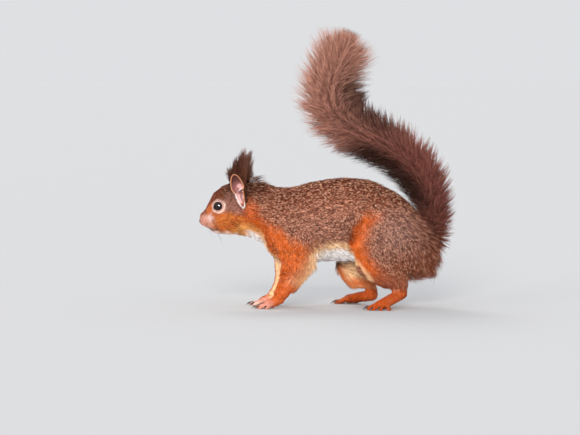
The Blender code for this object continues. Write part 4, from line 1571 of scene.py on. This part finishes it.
tail = {
    "locks": 25000,
    # half widths of the hair's outline seen from the side and from behind, along tailLine
    "across": (12, 17.5, 19, 19, 21, 23.5, 24.5, 25, 26, 28, 30.5, 32, 31, 29.5),
    "behind": (9, 13.5, 17, 19.5, 21.5, 23, 23.5, 23.5, 23.5, 24, 24, 24, 23, 21),
    "advance": (8, 19),  # how far a lock runs along the tail
    "clumps": (5.0, 5.5),  # size along the tail and round it
    "gather": 0.45,
    "swirl": 0.6,  # how far, in radians, a tip strays round the tail
    "width": 0.34,
    "strays": 0.10,  # share of the locks that stand out, and how much
    "advanceBy": ((0, 0.04, 0.12, 0.25), (-1.4, -0.7, 0.5, 1.0)),  # near the root it is brushed back
    "least": 0.34,  # the shortest reach, as a share of the outline
    "bends": (0.33, 0.68),  # where a lock bends, as shares of its way
}
tailParts = {"low": 0.38, "middle": 0.68, "high": 2.0}  # each ends at this share of the tail
tailNodes = {
    "low": ("tail_root", "tail_lower"),
    "middle": ("tail_middle",),
    "high": ("tail_upper", "tail_tip"),
}


class TailShape:
    # places on and round the tail's line, by distance along it and turn round it
    def __init__(self):
        path = np.array(tailLine, float)
        gone = np.concatenate([[0], np.cumsum(np.linalg.norm(np.diff(path, axis=0), axis=1))])
        self.total = gone[-1]
        self.gone = gone
        self.endWay = unit(path[-1] - path[-2])
        self.path = np.vstack([path, path[-1] + self.endWay * tailReach])
        self.fullGone = np.append(gone, self.total + tailReach)

    def centre(self, at):
        return np.stack([np.interp(at, self.fullGone, self.path[:, i]) for i in range(3)], 1)

    def outward(self, at, turn):
        ahead = unit(self.centre(at + 3) - self.centre(np.maximum(at - 3, 0)))
        ahead = np.where((at > self.total + 3)[:, None], self.endWay, ahead)
        inPlane = unit(np.cross((0.0, 1.0, 0.0), ahead))
        return np.cos(turn)[:, None] * inPlane, np.sin(turn)[:, None] * np.array((0.0, 1.0, 0.0))

    def outline(self, at):
        beyond = np.clip((at - self.total) / tailReach, 0, 0.98)
        shrink = (1 - beyond**5) ** 0.5
        return [np.interp(at, self.gone, tail[key]) * shrink for key in ("across", "behind")]

    def place(self, at, turn, radii):
        flat, sideways = self.outward(at, turn)
        return self.centre(at) + flat * radii[0][:, None] + sideways * radii[1][:, None]


def growTail():
    draw = seeded(8)
    shape = TailShape()
    count = tail["locks"]
    root = draw.uniform(0, 1, count) ** 0.93 * (shape.total + 2)
    turn = draw.uniform(0, 2 * math.pi, count)
    share = root / shape.total
    flat, sideways = shape.outward(np.minimum(root, shape.total), turn)
    # hair lies close and dark along the edge that faces the back, and stands in clumps on the other
    low = ramp(share, 0.10, 0.22) * (1 - ramp(share, 0.50, 0.66))
    inner = ramp(-np.cos(turn), 0.0, 0.65) * low
    outer = ramp(np.cos(turn), 0.1, 0.7) * low
    advance = draw.uniform(*tail["advance"], count)
    advance *= np.interp(share, *tail["advanceBy"])
    advance *= 1 + 0.8 * inner - 0.35 * outer
    # near the end the hair runs on past it and closes its middle
    advance += ramp(share, 0.80, 1.0) * draw.uniform(0, tailReach * 0.75, count)
    fill = draw.uniform(0, 1, count) ** 0.6
    tipAt = np.minimum(root + advance, shape.total + tailReach - 0.4)
    core = np.interp(share, (0, 1), tailCore) * 0.8
    start = shape.place(np.minimum(root, shape.total), turn, (core, core))
    noise = softNoise(start + np.stack([turn * 6] * 3, 1), 7.0, 31)
    least = tail["least"] * (1 - ramp(share, 0.75, 0.95))
    reach = least + (1 - least) * fill
    reach *= 1 + 0.07 * noise * (1 + outer - 0.6 * inner) + draw.normal(0, 0.035, count)
    stray = (draw.random(count) < tail["strays"]) * (1 - inner)
    reach += tail["strays"] * stray
    tall, wide = shape.outline(tipAt)
    reach = np.minimum(reach * 1.06, 1.16)
    tipTurn = turn + draw.normal(0, tail["swirl"], count)
    tip = shape.place(tipAt + noise * 1.5, tipTurn, (tall * reach, wide * reach))
    keys = np.stack([tipAt / tail["clumps"][0], tipTurn * 20 / tail["clumps"][1], reach * 4], 1)
    tip = gathered(tip, keys, tail["gather"] * (1 + 0.6 * outer - 0.6 * inner)[:, None])
    way = tip - start
    size = np.linalg.norm(way, axis=1, keepdims=True)
    outward = unit(flat + sideways)
    bulge = outward * size * 0.07 + draw.normal(0, 0.4, (count, 3))
    width = tail["width"] * draw.uniform(*coat["widths"], count) * (1 - 0.35 * stray)
    strand = draw.random(count)
    shadeSide = ramp(np.cos(tipTurn), 0.1, 0.9) * ramp(share, 0.42, 0.55) * (1 - ramp(share, 0.82, 0.98))
    rumpward = 1 - ramp(share + draw.normal(0, 0.03, count), 0.0, 0.15)
    tone = plain("tail", count)
    for mask, name in (
        (ramp(reach, 0.55, 1.0) * ramp(share, 0.3, 0.95) * 0.9, "tailTip"),
        (ramp(share, 0.55, 1.0) * 0.45, "tailTip"),
        # darker along the edge that faces the back: the tail's darker inner hair with painted shade
        (ramp(-np.cos(tipTurn), -0.05, 0.6) * low * 0.95, "tailDark"),
        (shadeSide * 0.8, "tailDark"),
        ((1 - ramp(share, 0.0, 0.30)) * 0.45, "tailDark"),
        (rumpward * 0.85, "redBrown"),
    ):
        tone = paint(tone, mask, name)
    first, second = tail["bends"]
    locks = {
        "spine": np.stack([start, start + way * first + bulge, start + way * second + bulge * 0.8, tip], 1),
        "widths": np.stack([width * 0.8, width, width * 0.75], 1),
        "up": outward,
        "tone": tone * draw.uniform(0.82, 1.18, (count, 1)),
        "strand": strand,
        "fleck": np.maximum((0.30 + 0.35 * share * draw.random(count)) * (1 - 0.6 * inner), 0.8 * rumpward),
    }
    lowest = 0.0
    for name, highest in tailParts.items():
        on = (share >= lowest) & (share < highest)
        lowest = highest
        part = chosenLocks(locks, on)
        part["place"] = spread(turn[on], root[on])
        piece = lockMesh("tail_hair_" + name, part, "tail")
        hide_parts(*tailNodes[name])
        print("tail piece", name, int(on.sum()), "locks")


growTail()

# hair of the ears: short on the back and the rim, long tufts behind them

earHair = {
    "back": {"locks": 1100, "length": 4.0, "lift": 20, "width": 0.22},
    "rim": {"locks": 560, "length": 1.4, "lift": 14, "width": 0.12},
}
tuft = {
    "locks": 1100,
    "clumps": 26,
    "width": 0.26,
    # (x, distance from the middle, z, half width) of the outline from the ear's back to the points
    left: (
        (-72.5, 15.0, 104.0, 9.5), (-74.2, 14.0, 112.0, 8.6), (-74.4, 14.6, 120.0, 6.2),
        (-71.8, 15.6, 127.0, 4.6), (-69.0, 16.4, 133.0, 2.2),
    ),
    right: (
        (-69.0, 15.0, 104.0, 9.6), (-69.0, 14.0, 111.0, 9.4), (-68.2, 14.6, 118.0, 7.0),
        (-65.2, 15.6, 124.5, 5.6), (-63.0, 16.4, 130.0, 3.2),
    ),
}  # fmt: skip


def onEar(side, points):
    place = np.array(earPlace(side))
    return (points * mm @ place[:3, :3].T + place[:3, 3]) / mm


def earBack(draw, count, lowest, highest):
    # places and normals on the back of the cup, in the ear's own frame
    high = draw.uniform(lowest, highest, count)
    turn = draw.uniform(0.05, math.pi - 0.05, count)
    ring = np.sqrt(1 - high**2)
    points = np.stack([np.cos(turn) * ring, np.sin(turn) * ring, high], 1) * ear["radii"]
    normals = unit(points / np.square(ear["radii"]))
    return earShape(points), normals


def growEarHair(side):
    draw = seeded(60 + side)
    parts = []
    for kind, look in earHair.items():
        count = look["locks"]
        if kind == "back":
            points, normals = earBack(draw, count, -0.85, 0.97)
            points += normals * 0.1
            flow = np.tile([0.0, 0.1, 1.0], (count, 1))
            tone = plain("crown", count) * draw.uniform(0.8, 1.2, (count, 1))
            length = look["length"] * draw.uniform(0.6, 1.2, count)
        else:
            turn = draw.uniform(0, 2 * math.pi, count)
            flatEdge = math.sqrt(1 - ear["cut"] ** 2)
            ring = (np.cos(turn) * flatEdge, np.full(count, -ear["cut"]), np.sin(turn) * flatEdge)
            points = earShape(np.stack(ring, 1) * ear["radii"] * (1.03, 1.0, 1.03))
            normals = np.tile([0.0, -1.0, 0.0], (count, 1))
            flow = unit(points * (1, 0, 1)) + (0.0, 0.0, 0.35)
            high = points[:, 2] / ear["radii"][2]
            lower = ramp(high, 0.0, -0.25)
            whitened = lower * np.maximum(ramp(points[:, 0], 1.0, 0.0), ramp(high, -0.62, -0.75))
            tone = paint(plain("earRim", count), whitened, "white")
            length = look["length"] * draw.uniform(0.5, 1.2, count) * (0.55 + 0.5 * lower)
        flow = unit(flow + draw.normal(0, 0.30, (count, 3)))
        flow = unit(flow - normals * (flow * normals).sum(1, keepdims=True))
        lift = np.radians(look["lift"] + draw.normal(0, 5, count))
        spine = laidSpines(points, normals, flow, length, lift, np.full(count, 0.05))
        width = look["width"] * draw.uniform(*coat["widths"], count)
        parts.append(
            {
                "spine": np.stack([onEar(side, row) for row in spine], 1),
                "widths": np.stack([width * 0.8, width], 1),
                "up": onEar(side, points + normals) - onEar(side, points),
                "tone": tone,
                "strand": draw.random(count),
                "fleck": np.full(count, 0.25),
                "place": spread(draw.random(count), points[:, 2]),
            }
        )
    locks = {key: np.concatenate([part[key] for part in parts]) for key in parts[0]}
    lockMesh("ear_hair_" + sideNames[side], locks, "coat")


def growTuft(side):
    draw = seeded(40 + side)
    rows = np.array(tuft[side], float)
    count = tuft["locks"]
    clumps = tuft["clumps"]
    clump = draw.integers(0, clumps, count)
    clumpAcross = np.linspace(-1, 1, clumps) * 0.92
    clumpEnd = draw.uniform(0.38, 1.05, clumps) * (1.08 - 0.38 * np.abs(clumpAcross) ** 2)
    clumpLean = draw.normal(0, 1.5, clumps)
    points, normals = earBack(draw, count, 0.05, 0.95)
    order = np.argsort(points[:, 0] + draw.normal(0, 1.6, count))
    points, normals = points[order], normals[order]
    clump = np.sort(clump)
    start = onEar(side, points + normals * 0.1)
    up = onEar(side, points + normals) - onEar(side, points)
    end = np.clip(clumpEnd[clump] * draw.uniform(0.60, 1.10, count), 0.2, 1.06)
    shares = (0, 0.28, 0.55, 0.79, 1.0)
    row = np.stack([np.interp(end, shares, rows[:, i]) for i in range(4)], 1)
    depth = draw.normal(0, 1.3, count)
    x = row[:, 0] + clumpAcross[clump] * row[:, 3] + clumpLean[clump]
    tip = np.stack([x, side * (row[:, 1] + depth), row[:, 2]], 1)
    tip += draw.normal(0, 0.8, (count, 3)) * draw.uniform(0.3, 1.6, (count, 1))
    size = np.linalg.norm(tip - start, axis=1, keepdims=True)
    bend = (start + tip) / 2 + size * (0.16 * up + np.array((0.02, 0, 0.10)))
    spine = [(1 - t) ** 2 * start + 2 * t * (1 - t) * bend + t * t * tip for t in (0, 0.35, 0.7, 1.0)]
    width = tuft["width"] * draw.uniform(0.7, 1.3, count)
    strand = draw.random(count)
    mask = ramp(tip[:, 0], -74, -62) * ramp(tip[:, 2], 108, 124) * 0.9
    tone = paint(plain("tuft", count), mask, "tuftTip")
    locks = {
        "spine": np.stack(spine, 1),
        "widths": np.stack([width * 0.9, width, width * 0.7], 1),
        "up": up,
        "tone": tone * draw.uniform(0.6, 1.4, clumps)[clump, None] * draw.uniform(0.8, 1.2, (count, 1)),
        "strand": strand,
        "fleck": np.full(count, 0.3),
        "place": spread(points[:, 0], points[:, 2]),
    }
    piece = lockMesh("tuft_hair_" + sideNames[side], locks, "tuft")
    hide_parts("ear_tuft_" + sideNames[side])


for side in sideNames:
    growEarHair(side)
    growTuft(side)
print("ears haired")

# whiskers

whiskerRows = (  # (root, direction out, length) on the right side
    ((-99.5, 5.2, 71.8), (-0.10, 0.86, 0.05), 19),
    ((-97.8, 5.9, 72.4), (0.15, 0.86, 0.18), 22),
    ((-95.8, 6.9, 72.6), (0.42, 0.80, 0.20), 24),
    ((-99.6, 5.0, 69.9), (-0.12, 0.86, -0.22), 18),
    ((-97.6, 6.0, 70.3), (0.15, 0.88, -0.16), 23),
    ((-95.6, 7.2, 70.4), (0.45, 0.80, -0.12), 25),
    ((-98.8, 5.1, 68.0), (0.02, 0.74, -0.48), 19),
    ((-96.8, 6.2, 68.2), (0.25, 0.74, -0.50), 22),
    ((-94.8, 7.2, 68.4), (0.50, 0.68, -0.40), 22),
    ((-92.0, 8.4, 90.4), (-0.25, 0.60, 0.70), 12),
    ((-90.2, 8.9, 91.0), (-0.05, 0.55, 0.78), 13),
    ((-90.5, 4.2, 62.0), (0.15, 0.30, -0.85), 12),
    ((-84.0, 12.8, 67.0), (0.35, 0.85, -0.30), 13),
)
whiskerWidth = 0.17


def growWhiskers():
    draw = seeded(70)
    spines = []
    for side in sideNames:
        for start, way, length in whiskerRows:
            way = unit(np.array(way) + draw.normal(0, 0.05, 3))
            gone = np.linspace(0, 1, 7)[:, None]
            line = np.array(start) - way * 0.8 + way * length * gone
            line += np.array((0.30, -0.12, -0.10)) * length * gone**2
            spines.append(line * (1, side, 1))
    spine = np.array(spines)
    count = len(spine)
    locks = {
        "spine": spine,
        "widths": np.tile(whiskerWidth * np.linspace(1, 0.3, 6), (count, 1)),
        "up": np.tile([0.0, 0.0, 1.0], (count, 1)),
        "tone": plain("dark", count),
        "strand": draw.random(count),
        "fleck": np.zeros(count),
        "place": spread(spine[:, 0, 0], spine[:, 0, 2]),
    }
    lockMesh("whiskers", locks, "whisker")


growWhiskers()
print("whiskers grown")
